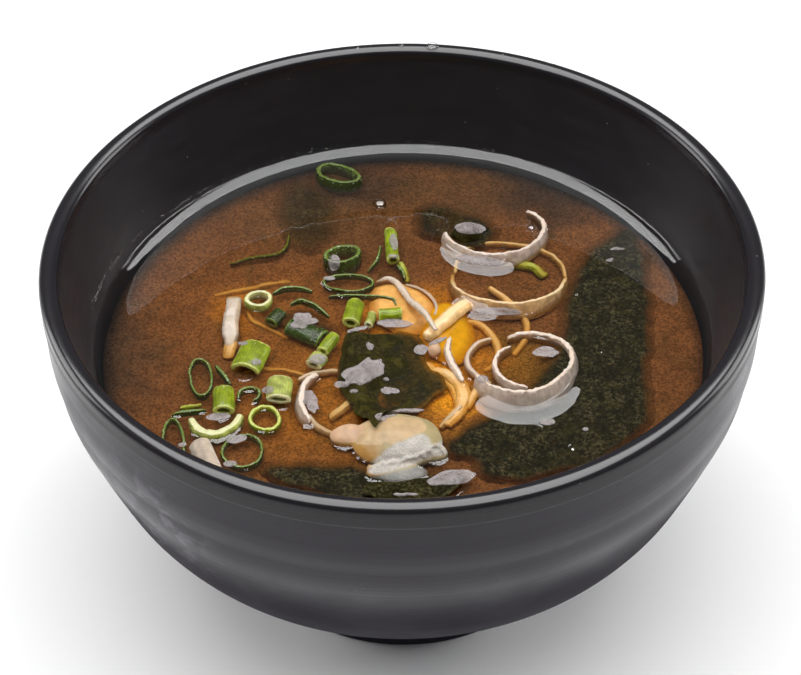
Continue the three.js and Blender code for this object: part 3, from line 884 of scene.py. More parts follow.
@dataclass(frozen=True)
class MatteLacquer:
    """The same ABS with a satin charcoal coat: soft broad sheen, and smears where it was handled.

    Attributes:
        name: The material's name.
        charcoal: Its colour.
        pale: Colour of its turning marks.
        smear: Colour of the dried splashes.
        smear_at: Middle of the splashed patch.
        smear_reach: How far that patch reaches.
        smear_cover: Share of the coat that a splash hides.
        dull: Heights from the polished upper wall down to where it has kept its dull grain.
    """

    name: str = "lacquered_abs_satin"
    charcoal: str = "#17131b"
    pale: str = "#201b25"
    smear: str = "#8f8c95"
    smear_at: tuple[float, float, float] = (-40.0, -42.0, 46.0)
    smear_reach: float = 17.0
    smear_cover: float = 0.3
    dull: tuple[float, float] = (46.0, 34.0)

    def material(self) -> bpy.types.Material:
        """Makes the finish, with turning marks round it and dried splashes on its left."""
        g = Graph(self.name)
        place = g.places()
        turned = g.noise(g.vector("MULTIPLY", place, (0.03, 0.03, 0.9)), 1.0, 4.0)
        cloud = g.noise(place, 0.09, 3.0)
        mixed = g.mix(turned, self.charcoal, self.pale)
        near = g.ranged(g.vector("DISTANCE", place, self.smear_at), self.smear_reach, 3.0)
        patch = g.ranged(g.noise(place, 0.28, 3.0, distortion=0.6), 0.5, 0.64)
        faint = g.math("MULTIPLY", g.math("MULTIPLY", near, patch), self.smear_cover)
        # The coat's grain is about 0.05 mm, and it is drawn at 0.25 mm so that it shows at all.
        relief = g.math("MULTIPLY_ADD", turned, 3.0, g.noise(place, 4.0, 2.0))
        dull = g.ranged(g.height(place), *self.dull, 0.0, 0.5)
        wires = {
            "Base Color": g.mix(faint, mixed, self.smear),
            "Roughness": g.math("ADD", g.ranged(cloud, 0.3, 0.7, 0.27, 0.37), dull),
            "IOR": 1.5,
            "Specular IOR Level": 0.27,
            "Normal": g.bump(relief, 0.35, 0.00004),
        }
        return g.plain(wires)


@dataclass(frozen=True)
class BrothDepths:
    """The body of the soup, a few millimetres in, where the paste closes the view."""

    name: str = "miso_broth_depths"

    def material(self) -> bpy.types.Material:
        """Makes the cloudy brown that the level lies over."""
        g = Graph(self.name)
        return g.plain({"Base Color": BROTH.colour(g), "Roughness": 0.9, "Specular IOR Level": 0.0})


@dataclass(frozen=True)
class BrothSurface:
    """The level of the soup: clear dashi with drifting specks of paste, mirror smooth, IOR 1.33.

    Attributes:
        name: The material's name.
        speck_dark: Shade of the dark specks.
        speck_pale: Shade of the pale specks.
        veil_most: Most of the view that the specks close.
        bare: Radii between which the specks end.
    """

    name: str = "miso_broth_surface"
    speck_dark: str = "#2c1d0e"
    speck_pale: str = "#9a7848"
    veil_most: float = 0.34
    bare: tuple[float, float] = (52.0, 46.0)

    def material(self) -> bpy.types.Material:
        """Makes a clear face with specks in it, under a water-like gloss."""
        g = Graph(self.name)
        place = g.places()
        clumps = g.noise(place, 2.6, 4.0, rough=0.75)
        other = g.noise(place, 1.7, 3.0, rough=0.7)
        dark_pale = g.mix(g.ranged(other, 0.42, 0.6), self.speck_dark, self.speck_pale)
        dense = g.ranged(clumps, 0.52, 0.74, 0.0, self.veil_most)
        out = g.vector("LENGTH", g.vector("MULTIPLY", place, (1.0, 1.0, 0.0)))
        cover = g.math("MULTIPLY", dense, g.ranged(out, *self.bare))
        body = g.blend(cover, g.add("BsdfTransparent"), g.add("BsdfDiffuse", {"Color": dark_pale}))
        bump = g.bump(g.noise(place, 0.22, 1.0), 0.3, 0.0001)
        mirror = g.add("Fresnel", {"IOR": BROTH_IOR, "Normal": bump})
        return g.finished(g.blend(mirror, body, g.gloss(0.02, Normal=bump)))


@dataclass(frozen=True)
class Flesh:
    """Cooked allium: wet, half clear flesh with fibres in it and a grainy cut edge.

    Attributes:
        name: The material's name.
        skin: Colour of the outside of the layer.
        core: Colour of the inside of the layer.
        cut: Colour of the cut face.
        rib: Distance between two fibres, in millimetres.
        ribbing: How much paler a fibre is than the flesh between.
        soak: How much light it lets in under its skin.
        rough: Roughness of the flesh under its film of soup.
        clear: How far its sides can be seen through.
        grains: How many pale grains stand on its cut faces.
        mottle: How much darker its dark patches are.
        gloss: Specular level of the flesh itself.
        grain: Colour of those grains.
    """

    name: str
    skin: str
    core: str
    cut: str
    rib: float = 0.5
    ribbing: float = 0.2
    soak: float = 0.3
    rough: float = 0.4
    clear: float = 0.0
    grains: float = 0.0
    mottle: float = 0.42
    gloss: float = 0.12
    grain: str = "#d6d2bc"

    def sunk(self) -> "Flesh":
        """Returns the same flesh under the level, where it has no shine of its own."""
        return replace(self, name=self.name + "_sunk", gloss=0.0)

    def material(self) -> bpy.types.Material:
        """Makes the finish from the tones along, side and lift of a swept piece."""
        g = Graph(self.name)
        place = g.places()
        along, side, lift = (g.tone(name) for name in ("along", "side", "lift"))
        wander = g.noise(place, 1 / (2.5 * self.rib), 3.0)
        waves = g.math("MULTIPLY_ADD", along, 2 * math.pi / self.rib, g.math("MULTIPLY", wander, 7.0))
        ridge = g.ranged(g.math("SINE", waves), -1.0, 1.0)
        base = g.mix(g.ranged(side, -0.5, 0.6), self.core, self.skin)
        patchy = g.noise(place, 0.7, 5.0)
        shade = g.ranged(patchy, 0.3, 0.7, 1 - self.mottle, 1.02)
        ribbed = g.ranged(ridge, 0.0, 1.0, 1 - 0.6 * self.ribbing, 1 + 0.4 * self.ribbing)
        varied = g.scaled(base, g.math("MULTIPLY", shade, ribbed))
        face = g.ranged(g.math("ABSOLUTE", lift), 0.86, 0.97)
        plain = g.mix(face, varied, self.cut)
        # Grains are 0.25 mm across and 0.6 mm apart.
        grained = g.ranged(g.cells(place, 0.6), 0.3, 0.2, 0.0, self.grains)
        shown = g.math("MULTIPLY", grained, g.ranged(lift, 0.2, 0.8))
        colour = g.mix(shown, plain, self.grain)
        # Cells in a cut edge are 0.1 to 0.3 mm across.
        grainy = g.math("MULTIPLY", g.cells(place, 0.32), g.ranged(lift, 0.3, 0.9))
        relief = g.math("MULTIPLY_ADD", grainy, -0.8, g.math("MULTIPLY", ridge, self.ribbing * 4))
        wires = {
            "Base Color": BROTH.steep(g, colour, 0.6),
            "Roughness": self.rough,
            "IOR": 1.4,
            "Subsurface Weight": self.soak,
            "Subsurface Radius": SOAK,
            "Subsurface Scale": 0.0012,
            "Specular IOR Level": self.gloss,
            "Coat Weight": g.ranged(g.height(place), SOUP_Z - 0.1, SOUP_Z + 0.2, 0.0, 0.3),
            "Coat Roughness": 0.12,
            "Coat IOR": FILM_IOR,
            "Normal": g.bump(relief, 0.6, 0.0001),
        }
        body = g.add("BsdfPrincipled", wires)
        if not self.clear:
            return g.finished(body)
        seen = g.ranged(patchy, 0.7, 0.3, 0.65 * self.clear, self.clear)
        thin = g.math("MULTIPLY", g.math("SUBTRACT", 1.0, face), seen)
        return g.finished(g.blend(thin, body, g.add("BsdfTransparent")))


@dataclass(frozen=True)
class OnionFlesh:
    """Boiled onion: glassy, apricot under a wet skin, chalky where torn, all with painted sheen."""

    name: str = "onion_layer_cooked"
    glassy: str = "#b3a274"
    shades: tuple[tuple[str, str], ...] = (
        ("amber", "#b98a46"),
        # Besides the flesh's colours, the next three hold painted sheen, and the last a grey painted
        # reflection.
        ("peach_sheen", "#cfb084"),
        ("pink_sheen", "#d8b08c"),
        ("chalk_sheen", "#cec6bb"),
        ("low", "#94918a"),
    )

    def material(self) -> bpy.types.Material:
        """Makes the finish from one tone for each of its shades."""
        g = Graph(self.name)
        place = g.places()
        colour: Any = linear(self.glassy)
        for tone, code in self.shades:
            colour = g.mix(g.tone(tone), colour, code)
        cloud = g.noise(place, 0.5, 4.0)
        # Torn cells are 0.2 to 0.4 mm across.
        cells = g.cells(place, 0.34)
        torn = g.math("MAXIMUM", g.tone("chalk_sheen"), g.tone("low"))
        speckled = g.math("MULTIPLY", g.ranged(cells, 0.2, 0.6, 0.05, -0.08), torn)
        shade = g.math("ADD", g.ranged(cloud, 0.3, 0.7, 0.66, 0.82), speckled)
        wires = {
            "Base Color": BROTH.steep(g, g.scaled(colour, shade), 0.6),
            "Roughness": 0.42,
            "IOR": 1.4,
            "Subsurface Weight": 0.3,
            "Subsurface Radius": SOAK,
            "Subsurface Scale": 0.001,
            "Specular IOR Level": 0.15,
            "Normal": g.bump(g.math("MULTIPLY", cells, torn), 0.5, -0.00012),
        }
        return g.plain(wires)


@dataclass(frozen=True)
class Wakame:
    """Wakame blade: thin, slippery seaweed, near black where it doubles and olive where it thins.

    Attributes:
        name: The material's name.
        dark: Colour of the body of the blade.
        olive: Colour of its thin parts and its rim.
        paste: Colour of the clumps of miso on it.
        gloss: Specular level of the blade itself.
        laid: Least and most of the clumps that lie on it.
    """

    name: str
    dark: str = "#1e1c08"
    olive: str = "#3b3611"
    paste: str = "#4c4426"
    gloss: float = 0.015
    laid: tuple[float, float] = (0.2, 0.72)

    def material(self) -> bpy.types.Material:
        """Makes the finish from the tone edge of a sheet."""
        g = Graph(self.name)
        place = g.places()
        thin = g.ranged(g.noise(place, 0.42, 4.0, distortion=0.7), 0.48, 0.72)
        rim = g.ranged(g.tone("edge"), 1.1, 0.1, 0.0, 0.55)
        colour = g.mix(g.math("MAXIMUM", thin, rim), self.dark, self.olive)
        # Sand-fine miso clings to it in clumps of about 0.4 mm, laid down in drifts of some 4 mm.
        grit = g.ranged(g.noise(place, 1.6, 6.0, rough=0.85), 0.46, 0.66)
        laid = g.ranged(g.noise(place, 0.28, 2.0), 0.38, 0.62, *self.laid)
        dusty = g.mix(g.math("MULTIPLY", grit, laid), colour, self.paste)
        wires = {
            "Base Color": BROTH.steep(g, dusty, 1.1),
            "Roughness": 0.6,
            "IOR": 1.4,
            "Specular IOR Level": self.gloss,
            "Normal": g.bump(g.noise(place, 0.8, 4.0, distortion=1.0), 0.45, 0.0006),
        }
        return g.plain(wires)


class Blade(Enum):
    """Which state a piece of seaweed is in."""

    WET = "wakame_wet"
    SUNK = "wakame_sunk"
    THIN = "wakame_thin"


WAKAME = {
    Blade.WET: Wakame(Blade.WET.value),
    Blade.SUNK: Wakame(Blade.SUNK.value, "#18170d", "#282610", "#6c6444", 0.0),
    Blade.THIN: Wakame(Blade.THIN.value, "#2e270e", "#4e3e16", "#5e5030", 0.0),
}


@dataclass(frozen=True)
class SheenFilm:
    """A film of soup that has stayed on a topping, painted milky as painted sheen, with a soft shine.

    Attributes:
        name: The material's name.
        painted_sheen: Least and most share of the view that its painted sheen covers.
        colour: Colour of the painted sheen.
        shine: Share of a clean film's gloss that it keeps.
    """

    name: str = "soup_film_painted_sheen"
    painted_sheen: tuple[float, float] = (0.46, 0.66)
    colour: str = "#a89f9d"
    shine: float = 0.16

    def material(self) -> bpy.types.Material:
        """Makes a half clear skin with curds in it, painted milky as sheen."""
        g = Graph(self.name)
        cover = g.ranged(g.noise(g.places(), 1.1, 3.0), 0.35, 0.7, *self.painted_sheen)
        # The milky colour is painted sheen: it stands for the light that the film mirrors.
        painted_sheen = g.add("BsdfDiffuse", {"Color": linear(self.colour)})
        body = g.blend(cover, g.add("BsdfTransparent"), painted_sheen)
        mirror = g.math("MULTIPLY", g.add("Fresnel", {"IOR": FILM_IOR}), self.shine)
        return g.finished(g.blend(mirror, body, g.gloss(0.2)))


@dataclass(frozen=True)
class ClearSoup:
    """A bead of clear dashi: all but its bright edge and its mirror of the light is seen through."""

    name: str = "clear_soup_bead"
    tint: tuple[float, float, float, float] = (0.93, 0.92, 0.9, 1.0)

    def material(self) -> bpy.types.Material:
        """Makes a water-clear skin, IOR 1.33."""
        g = Graph(self.name)
        tinted = g.add("BsdfTransparent", {"Color": self.tint})
        return g.finished(g.blend(g.add("Fresnel", {"IOR": BROTH_IOR}), tinted, g.gloss(0.04)))


@dataclass(frozen=True)
class StudioFloor:
    """Painted board under the bowl: plain, pale and matte."""

    name: str = "white_board"
    white: str = "#f4f4f4"

    def material(self) -> bpy.types.Material:
        """Makes the floor's finish."""
        g = Graph(self.name)
        return g.plain({"Base Color": linear(self.white), "Roughness": 0.8, "Specular IOR Level": 0.2})


# ---- the bowl ---------------------------------------------------------------------------------


@dataclass
class Bowl:
    """The lacquered bowl, turned to its named sizes.

    Attributes:
        radius: Outside radius of the lip.
        rim_z: Height at which the lip starts to round over.
        lip_round: How far it rises from there.
        lip_thick: Thickness of the lip.
        gloss_edge_z: Height where the gloss ends on the outside.
        edge_cut: How far the satin coat lies in from the gloss there.
        edge_low: How far that step reaches below the edge.
        edge_high: How far it reaches above it.
        foot_r: Outside radius of the foot ring.
        foot_wall: Its thickness.
        foot_h: Its height.
        foot_hollow: Height of the recess inside it.
        steps: Facets round the bowl.
        foot_edges: Rounding of the foot ring, as how far out each point lies from its inner wall
            and then from its outer wall, and its height.
        ridges: Radius, height and swell of each band of the outside, from the top down.
        wall: Radius and height of the inside wall, from the lip to the middle of the floor.
    """

    radius: float = 60.0
    rim_z: float = 65.4
    lip_round: float = 1.2
    lip_thick: float = 3.2
    gloss_edge_z: float = 62.7
    edge_cut: float = 0.04
    edge_low: float = 0.12
    edge_high: float = 0.1
    foot_r: float = 29.3
    foot_wall: float = 4.6
    foot_h: float = 5.0
    foot_hollow: float = 3.4
    steps: int = 216
    foot_edges: tuple[Outline, Outline] = (
        ((-0.05, 0.35), (0.15, 0.05), (0.4, 0.0)),
        ((-0.6, 0.0), (-0.25, 0.06), (-0.06, 0.25), (0.0, 0.5)),
    )
    ridges: Rows = (
        (59.75, 62.45, 0.0), (59.7, 58.6, 0.27), (59.05, 51.6, 0.3), (57.5, 44.5, 0.1),
        (52.6, 31.0, 0.9), (43.4, 19.4, 0.5), (29.9, 6.2, 0.0),
    )
    wall: Outline = (
        (56.8, 65.0), (54.7, 56.0), (52.7, 48.1), (50.3, 40.0), (45.6, 30.0), (37.0, 20.4),
        (22.0, 13.0), (0.0, 10.4),
    )

    def outside(self) -> Points:
        """Returns radius and height of the outside, from the gloss edge down to the foot."""
        rows: list[tuple[float, float]] = []
        parts = 12
        for (r, z, swell), (r_next, z_next, _) in zip(self.ridges, self.ridges[1:]):
            across = np.array([z - z_next, r_next - r])
            across /= np.linalg.norm(across)
            for i in range(parts):
                t = i / parts
                out, up = across * (swell * math.sin(math.pi * t))
                rows.append((r + (r_next - r) * t + out, z + (z_next - z) * t + up))
        rows.append(self.ridges[-1][:2])
        line = np.array(rows)
        line[1:-1] = (line[:-2] + 2 * line[1:-1] + line[2:]) / 4
        return line

    def profile(self) -> tuple[Points, int]:
        """Returns the profile from the foot's middle to the floor's, and where its gloss starts."""
        inner_foot = self.foot_r - self.foot_wall
        foot = [
            (0.0, self.foot_hollow),
            (inner_foot - 0.7, self.foot_hollow),
            (inner_foot - 0.3, self.foot_hollow - 0.25),
            *((inner_foot + out, z) for out, z in self.foot_edges[0]),
            *((self.foot_r + out, z) for out, z in self.foot_edges[1]),
            (self.foot_r, self.foot_h),
            (self.foot_r + 0.2, self.foot_h + 0.55),
        ]
        turn = np.linspace(0.0, math.pi, 28)
        half = self.lip_thick / 2
        lip = np.column_stack(
            [self.radius - half + half * np.cos(turn), self.rim_z + self.lip_round * np.sin(turn)]
        )
        edge_z = self.gloss_edge_z
        step = [
            (self.radius - self.edge_cut, edge_z - self.edge_low),
            (self.radius, edge_z + self.edge_high),
        ]
        inner = spline(self.wall, 90)[1:]
        lower = np.vstack([foot, self.outside()[::-1]])
        rows = np.vstack([lower, step, lip, inner])
        return rows, len(lower)

    def build(self) -> None:
        """Makes the bowl and dresses its inside and lip in gloss and its outside in matte."""
        rows, gloss_from = self.profile()
        made = lathe(rows, self.steps)
        lowest = made.faces.min(1) // self.steps + 1
        made.zones = np.where(lowest >= gloss_from - 1, 0, 1)
        bowl = made.make("bowl_lacquered", GlossLacquer().material(), MatteLacquer().material())
        settle(bowl, "lacquer", "bowl")


# ---- the soup ---------------------------------------------------------------------------------


def disc(side: int) -> Points:
    """Lays a square grid out as a disc of radius 1.

    Args:
        side: How many points each side of the grid has.

    Returns:
        The places, x and y, row by row.
    """
    span = np.linspace(-1.0, 1.0, side)
    a, b = np.meshgrid(span, span, indexing="ij")
    across = np.abs(a) >= np.abs(b)
    big = np.maximum(np.abs(a), np.abs(b))
    small = np.where(across, b / np.where(a == 0, 1, a), a / np.where(b == 0, 1, b))
    turn = np.where(across, small * math.pi / 4, math.pi / 2 - small * math.pi / 4)
    sign = np.where(across, np.sign(a), np.sign(b))
    return np.stack([big * np.cos(turn) * sign, big * np.sin(turn) * sign], -1).reshape(-1, 2)


@dataclass
class Liquid:
    """The soup: its mirror-smooth level and the clouded body under it.

    Attributes:
        edge: Radius of the level.
        wall_climb: How high it creeps up the wall.
        wall_reach: Distance over which that fades.
        side: Points along each side of the level's mesh.
        far: Distance from a topping beyond which it doesn't lift the level.
        skirt_out: How much wider the hidden skirt of the level is.
        skirt_drop: How far that skirt hangs down.
        depth: How far the body's top lies under the level.
        flank: Radius and height of the body's outside, from the middle of its floor up.
        steps: Facets round the body.
    """

    edge: float = 52.8
    wall_climb: float = 1.5
    wall_reach: float = 1.4
    side: int = 300
    far: float = 9.0
    skirt_out: float = 1.012
    skirt_drop: float = 1.0
    depth: float = 1.7
    flank: Outline = ((0.0, 11.0), (20.0, 13.0), (36.0, 21.0), (44.6, 30.4), (49.2, 40.0))
    steps: int = 144

    def level(self, places: Points, footprints: Sequence[Footprint]) -> Points:
        """Gives the height of the surface.

        Args:
            places: Where, x and y.
            footprints: What the soup climbs.

        Returns:
            The height at each place.
        """
        out = np.linalg.norm(places, axis=1)
        rise = self.wall_climb * np.exp(-(self.edge - out) / self.wall_reach)
        for foot in footprints:
            low, high = foot.points.min(0) - self.far, foot.points.max(0) + self.far
            near = np.nonzero(((places > low) & (places < high)).all(1))[0]
            if not len(near):
                continue
            gaps = np.linalg.norm(places[near, None] - foot.points[None], axis=2) - foot.half
            lift = (foot.climb * np.exp(-np.maximum(gaps, 0.0) / foot.reach)).max(1)
            rise[near] = np.maximum(rise[near], lift)
        return SOUP_Z + rise

    def build(self, footprints: Sequence[Footprint]) -> None:
        """Makes the level and the body, which together stand for the soup's solid."""
        places = disc(self.side) * self.edge
        index = np.arange(self.side**2).reshape(self.side, self.side)
        quads = [index[:-1, :-1], index[1:, :-1], index[1:, 1:], index[:-1, 1:]]
        first = np.stack(quads[:3], -1).reshape(-1, 3)
        second = np.stack([quads[0], quads[2], quads[3]], -1).reshape(-1, 3)
        top = np.vstack([first, second])
        # The level ends in a short skirt that is hidden in the bowl's wall.
        rim = np.concatenate([index[0, :-1], index[:-1, -1], index[-1, :0:-1], index[:0:-1, 0]])
        heights = self.level(places, footprints)
        points = np.column_stack([places, heights])
        low = points[rim] * (self.skirt_out, self.skirt_out, 1.0)
        low[:, 2] -= self.skirt_drop
        count = len(points)
        below = np.arange(len(rim)) + count
        after = np.roll(np.arange(len(rim)), -1)
        walls = np.vstack(
            [
                np.column_stack([rim, below, below[after]]),
                np.column_stack([rim, below[after], rim[after]]),
            ]
        )
        surface = Shape(np.vstack([points, low]), np.vstack([top, walls[:, ::-1]]))
        sheet = surface.make("soup_surface", BrothSurface().material())
        settle(sheet, "broth", "soup")
        bed = SOUP_Z - self.depth
        rings = [(r, bed) for r in np.linspace(49.5, 2.0, 24)]
        profile = [*self.flank, (51.5, bed - 0.4), (51.4, bed), *rings, (0.0, bed)]
        body = lathe(np.array(profile), self.steps)
        settle(body.make("soup_depths", BrothDepths().material()), "broth")


# ---- toppings that are swept ------------------------------------------------------------------


@dataclass(frozen=True)
class Ring:
    """A slice of leek or scallion that stands on its edge in the soup.

    Attributes:
        at: Its middle, x and y.
        rx: Half its width.
        ry: Half its depth.
        wall: Thickness of its layer.
        tall: Height of the slice.
        lift: Height of its top over the soup.
        start: Angle where its arc starts.
        end: Angle where its arc ends.
        turn: How far it is spun about the vertical.
        toward: The side that it rises towards.
        lean: How far it rises to that side.
        uneven: How far it is out of round.
        phase: Where it is out of round.
        flare: How far its foot stands out.
        knobs: Height of the grains on its upper edge.
        wet: Angles between which the soup climbs high up its outside, and how high.
    """

    at: tuple[float, float]
    rx: float
    ry: float
    wall: float
    tall: float
    lift: float
    start: float = 0.0
    end: float = 360.0
    turn: float = 0.0
    toward: float = -90.0
    lean: float = 0.0
    uneven: float = 0.04
    phase: float = 0.0
    flare: float = 0.0
    knobs: float = 0.1
    wet: tuple[float, float, float] = (0.0, 0.0, 0.0)

    @property
    def closed(self) -> bool:
        """True if the slice is a whole ring."""
        return self.end - self.start == 360.0

    def path(self, count: int) -> Points:
        """Returns points of its middle line about its own origin."""
        turn = np.radians(np.linspace(self.start, self.end, count, endpoint=not self.closed))
        swing = 1 + self.uneven * np.sin(2 * turn + self.phase)
        swing += self.uneven * 0.6 * np.sin(3 * turn - self.phase)
        x, y = self.rx * swing * np.cos(turn), self.ry * swing * np.sin(turn)
        return np.column_stack([x, y, np.zeros(count)])

    def placed(self) -> tuple[Points, Points]:
        """Returns the turn and the shift that stand it in the soup."""
        side = math.radians(self.toward)
        leaned = about((math.sin(side), -math.cos(side), 0.0), self.lean)
        shift = np.array([*self.at, SOUP_Z + self.lift - self.tall / 2])
        return leaned @ about((0, 0, 1), self.turn), shift

    def build(self, seed: int) -> tuple[Shape, Footprint]:
        """Builds the slice.

        Args:
            seed: Which noise it takes.

        Returns:
            The slice and where it breaks the level.
        """
        length = abs(self.end - self.start) / 360 * 2 * math.pi * max(self.rx, self.ry)
        count = stops(length, SLICE_STEP, 28)
        path = self.path(count)
        t = np.linspace(-1.0, 1.0, count)
        thin = 1.0 if self.closed else 1 - 0.25 * np.abs(t) ** 4
        made = sweep(path, self.closed, self.wall * thin, self.tall * thin, 28, 3.2, self.flare)
        made.roughened(2.6, self.wall * 0.14, seed)
        upper = smooth(made.tones["lift"], 0.3, 0.95)
        made.roughened(0.55, self.knobs, seed + 7, upper)
        turn, shift = self.placed()
        made = made.turned(turn, shift)
        line = path @ turn.T + shift
        top = line[:, 2] + self.tall / 2 - SOUP_Z
        climb = np.clip(top * CREEP, 0.0, 0.18) * smooth(top, 0.0, 0.35)
        first, last, high = self.wet
        angles = np.linspace(self.start, self.end, count, endpoint=not self.closed)
        soaked = smooth(angles, first - 9, first + 9) * smooth(angles, last + 9, last - 9)
        climb = np.maximum(climb, soaked * high)
        return made, Footprint(line[:, :2], self.wall / 2, climb, max(Footprint.reach, high))


@dataclass(frozen=True)
class Stalk:
    """A length of scallion that lies on its side: a tube, or a gutter where it has split.

    Attributes:
        at: Its middle, x and y.
        along: The way that it points, in degrees.
        long: Its length.
        wide: Its width.
        deep: Its height.
        wall: Thickness of its layer.
        lift: Height of its top over the soup.
        start: Angle where its layer starts.
        end: Angle where its layer ends.
    """

    at: tuple[float, float]
    along: float
    long: float
    wide: float
    deep: float
    wall: float
    lift: float
    start: float = 0.0
    end: float = 360.0

    def build(self, seed: int) -> tuple[Shape, Footprint]:
        """Builds the stalk.

        Args:
            seed: Which noise it takes.

        Returns:
            The stalk and where it breaks the level.
        """
        rx, ry = (self.wide - self.wall) / 2, (self.deep - self.wall) / 2
        layer = Ring((0, 0), rx, ry, self.wall, self.long, 0.0, self.start, self.end, uneven=0.02)
        count = stops(2 * math.pi * max(rx, ry), STALK_STEP, 40)
        made = sweep(layer.path(count), layer.closed, self.wall, self.long, 36, 6.0)
        made.roughened(1.6, 0.1, seed)
        made.roughened(0.5, 0.06, seed + 3)
        down = about((1, 0, 0), -90)
        shift = np.array([*self.at, SOUP_Z + self.lift - self.deep / 2])
        made = made.turned(about((0, 0, 1), self.along - 90) @ down, shift)
        way = np.array([math.cos(math.radians(self.along)), math.sin(math.radians(self.along))])
        line = np.array(self.at) + way * np.linspace(-0.5, 0.5, 12)[:, None] * self.long
        return made, Footprint(line, self.wide * 0.4, np.full(12, 0.15))


@dataclass(frozen=True)
class Strand:
    """A shred that lies in the soup.

    Attributes:
        points: x, y and the height of its top over the soup at each point.
        wall: Its width.
        tall: Its thickness.
        taper: How much of its size its ends keep.
        square: How flat its sides are.
        knobs: How rough its edges are.
    """

    points: Rows
    wall: float
    tall: float = 1.3
    taper: float = 0.55
    square: float = 2.6
    knobs: float = 0.06

    def build(self, seed: int) -> tuple[Shape, Footprint]:
        """Builds the strand.

        Args:
            seed: Which noise it takes.

        Returns:
            The strand and where it breaks the level.
        """
        tops = np.array(self.points)
        rough_length = np.linalg.norm(np.diff(tops, axis=0), axis=1).sum()
        path = spline(tops, stops(rough_length, STRAND_STEP, 24))
        top = path[:, 2].copy()
        path[:, 2] += SOUP_Z - self.tall / 2
        t = np.linspace(-1.0, 1.0, len(path))
        thin = 1 - (1 - self.taper) * np.abs(t) ** 4
        made = sweep(path, False, self.wall * thin, self.tall * thin, 20, self.square)
        made.roughened(1.8, self.wall * 0.1, seed)
        made.roughened(0.5, self.knobs, seed + 4)
        climb = np.clip(top * CREEP, 0.0, 0.15)
        return made, Footprint(path[:, :2], self.wall / 2, climb)


Swept = Ring | Stalk | Strand


class Look(Enum):
    """Which allium flesh a swept piece has."""

    LEEK = "leek"
    LEEK_WHITE = "leek_white"
    TAN = "leek_golden"
    WARM = "leek_warm"
    GREEN = "scallion_green"
    PALE = "scallion_pale"
    DARK = "scallion_dark"

    @property
    def slot(self) -> str:
        """Name of the finish in the part's record."""
        return "leek" if self in (Look.LEEK_WHITE, Look.TAN) else self.value


FLESH = {
    Look.LEEK: Flesh(
        "leek_layer_cooked", "#cfbdae", "#b9a08a", "#d3c2b3", 0.7, 0.05, 0.35,
        clear=0.5, grains=0.35, mottle=0.12,
    ),
    Look.TAN: Flesh(
        "leek_layer_golden", "#d2ac78", "#c49a60", "#dcc094", 0.7, 0.05, 0.35,
        clear=0.6, grains=0.3, mottle=0.12,
    ),
    Look.LEEK_WHITE: Flesh(
        "leek_white_cooked", "#bfae9c", "#b09a80", "#c4b4a2", 1.1, 0.08, 0.35, mottle=0.25
    ),
    Look.WARM: Flesh("leek_heart_cooked", "#e6bd7e", "#dfae66", "#ecca98", 0.8, 0.06, 0.35, mottle=0.25),
    Look.GREEN: Flesh(
        "scallion_mid_green", "#8c9e0e", "#a9b432", "#b8be60", 0.45, 0.16, 0.2, clear=0.15, grains=0.25
    ),
    Look.PALE: Flesh(
        "scallion_pale_green", "#b0b858", "#c4c480", "#d0ce9c", 0.45, 0.14, 0.25, clear=0.2, grains=0.3
    ),
    Look.DARK: Flesh(
        "scallion_dark_green", "#34480f", "#52641f", "#5a6d24", 0.45, 0.08, 0.15, clear=0.35, grains=0.35
    ),
}


@dataclass
class Toppings:
    """Swept toppings of one sub-assembly, each standing for the node of its own name."""

    pieces: dict[str, tuple[Swept, Look]]
    seed: int
    footprints: list[Footprint] = field(default_factory=list)

    def build(self, looks: dict[Look, bpy.types.Material]) -> list[Footprint]:
        """Makes every piece.

        Args:
            looks: The finish of each kind of flesh.

        Returns:
            Where the pieces break the level.
        """
        for i, (node, (size, look)) in enumerate(self.pieces.items()):
            made, foot = size.build(self.seed + 11 * i)
            settle(made.make(node + "_slice", looks[look]), look.slot, node)
            self.footprints.append(foot)
        return self.footprints


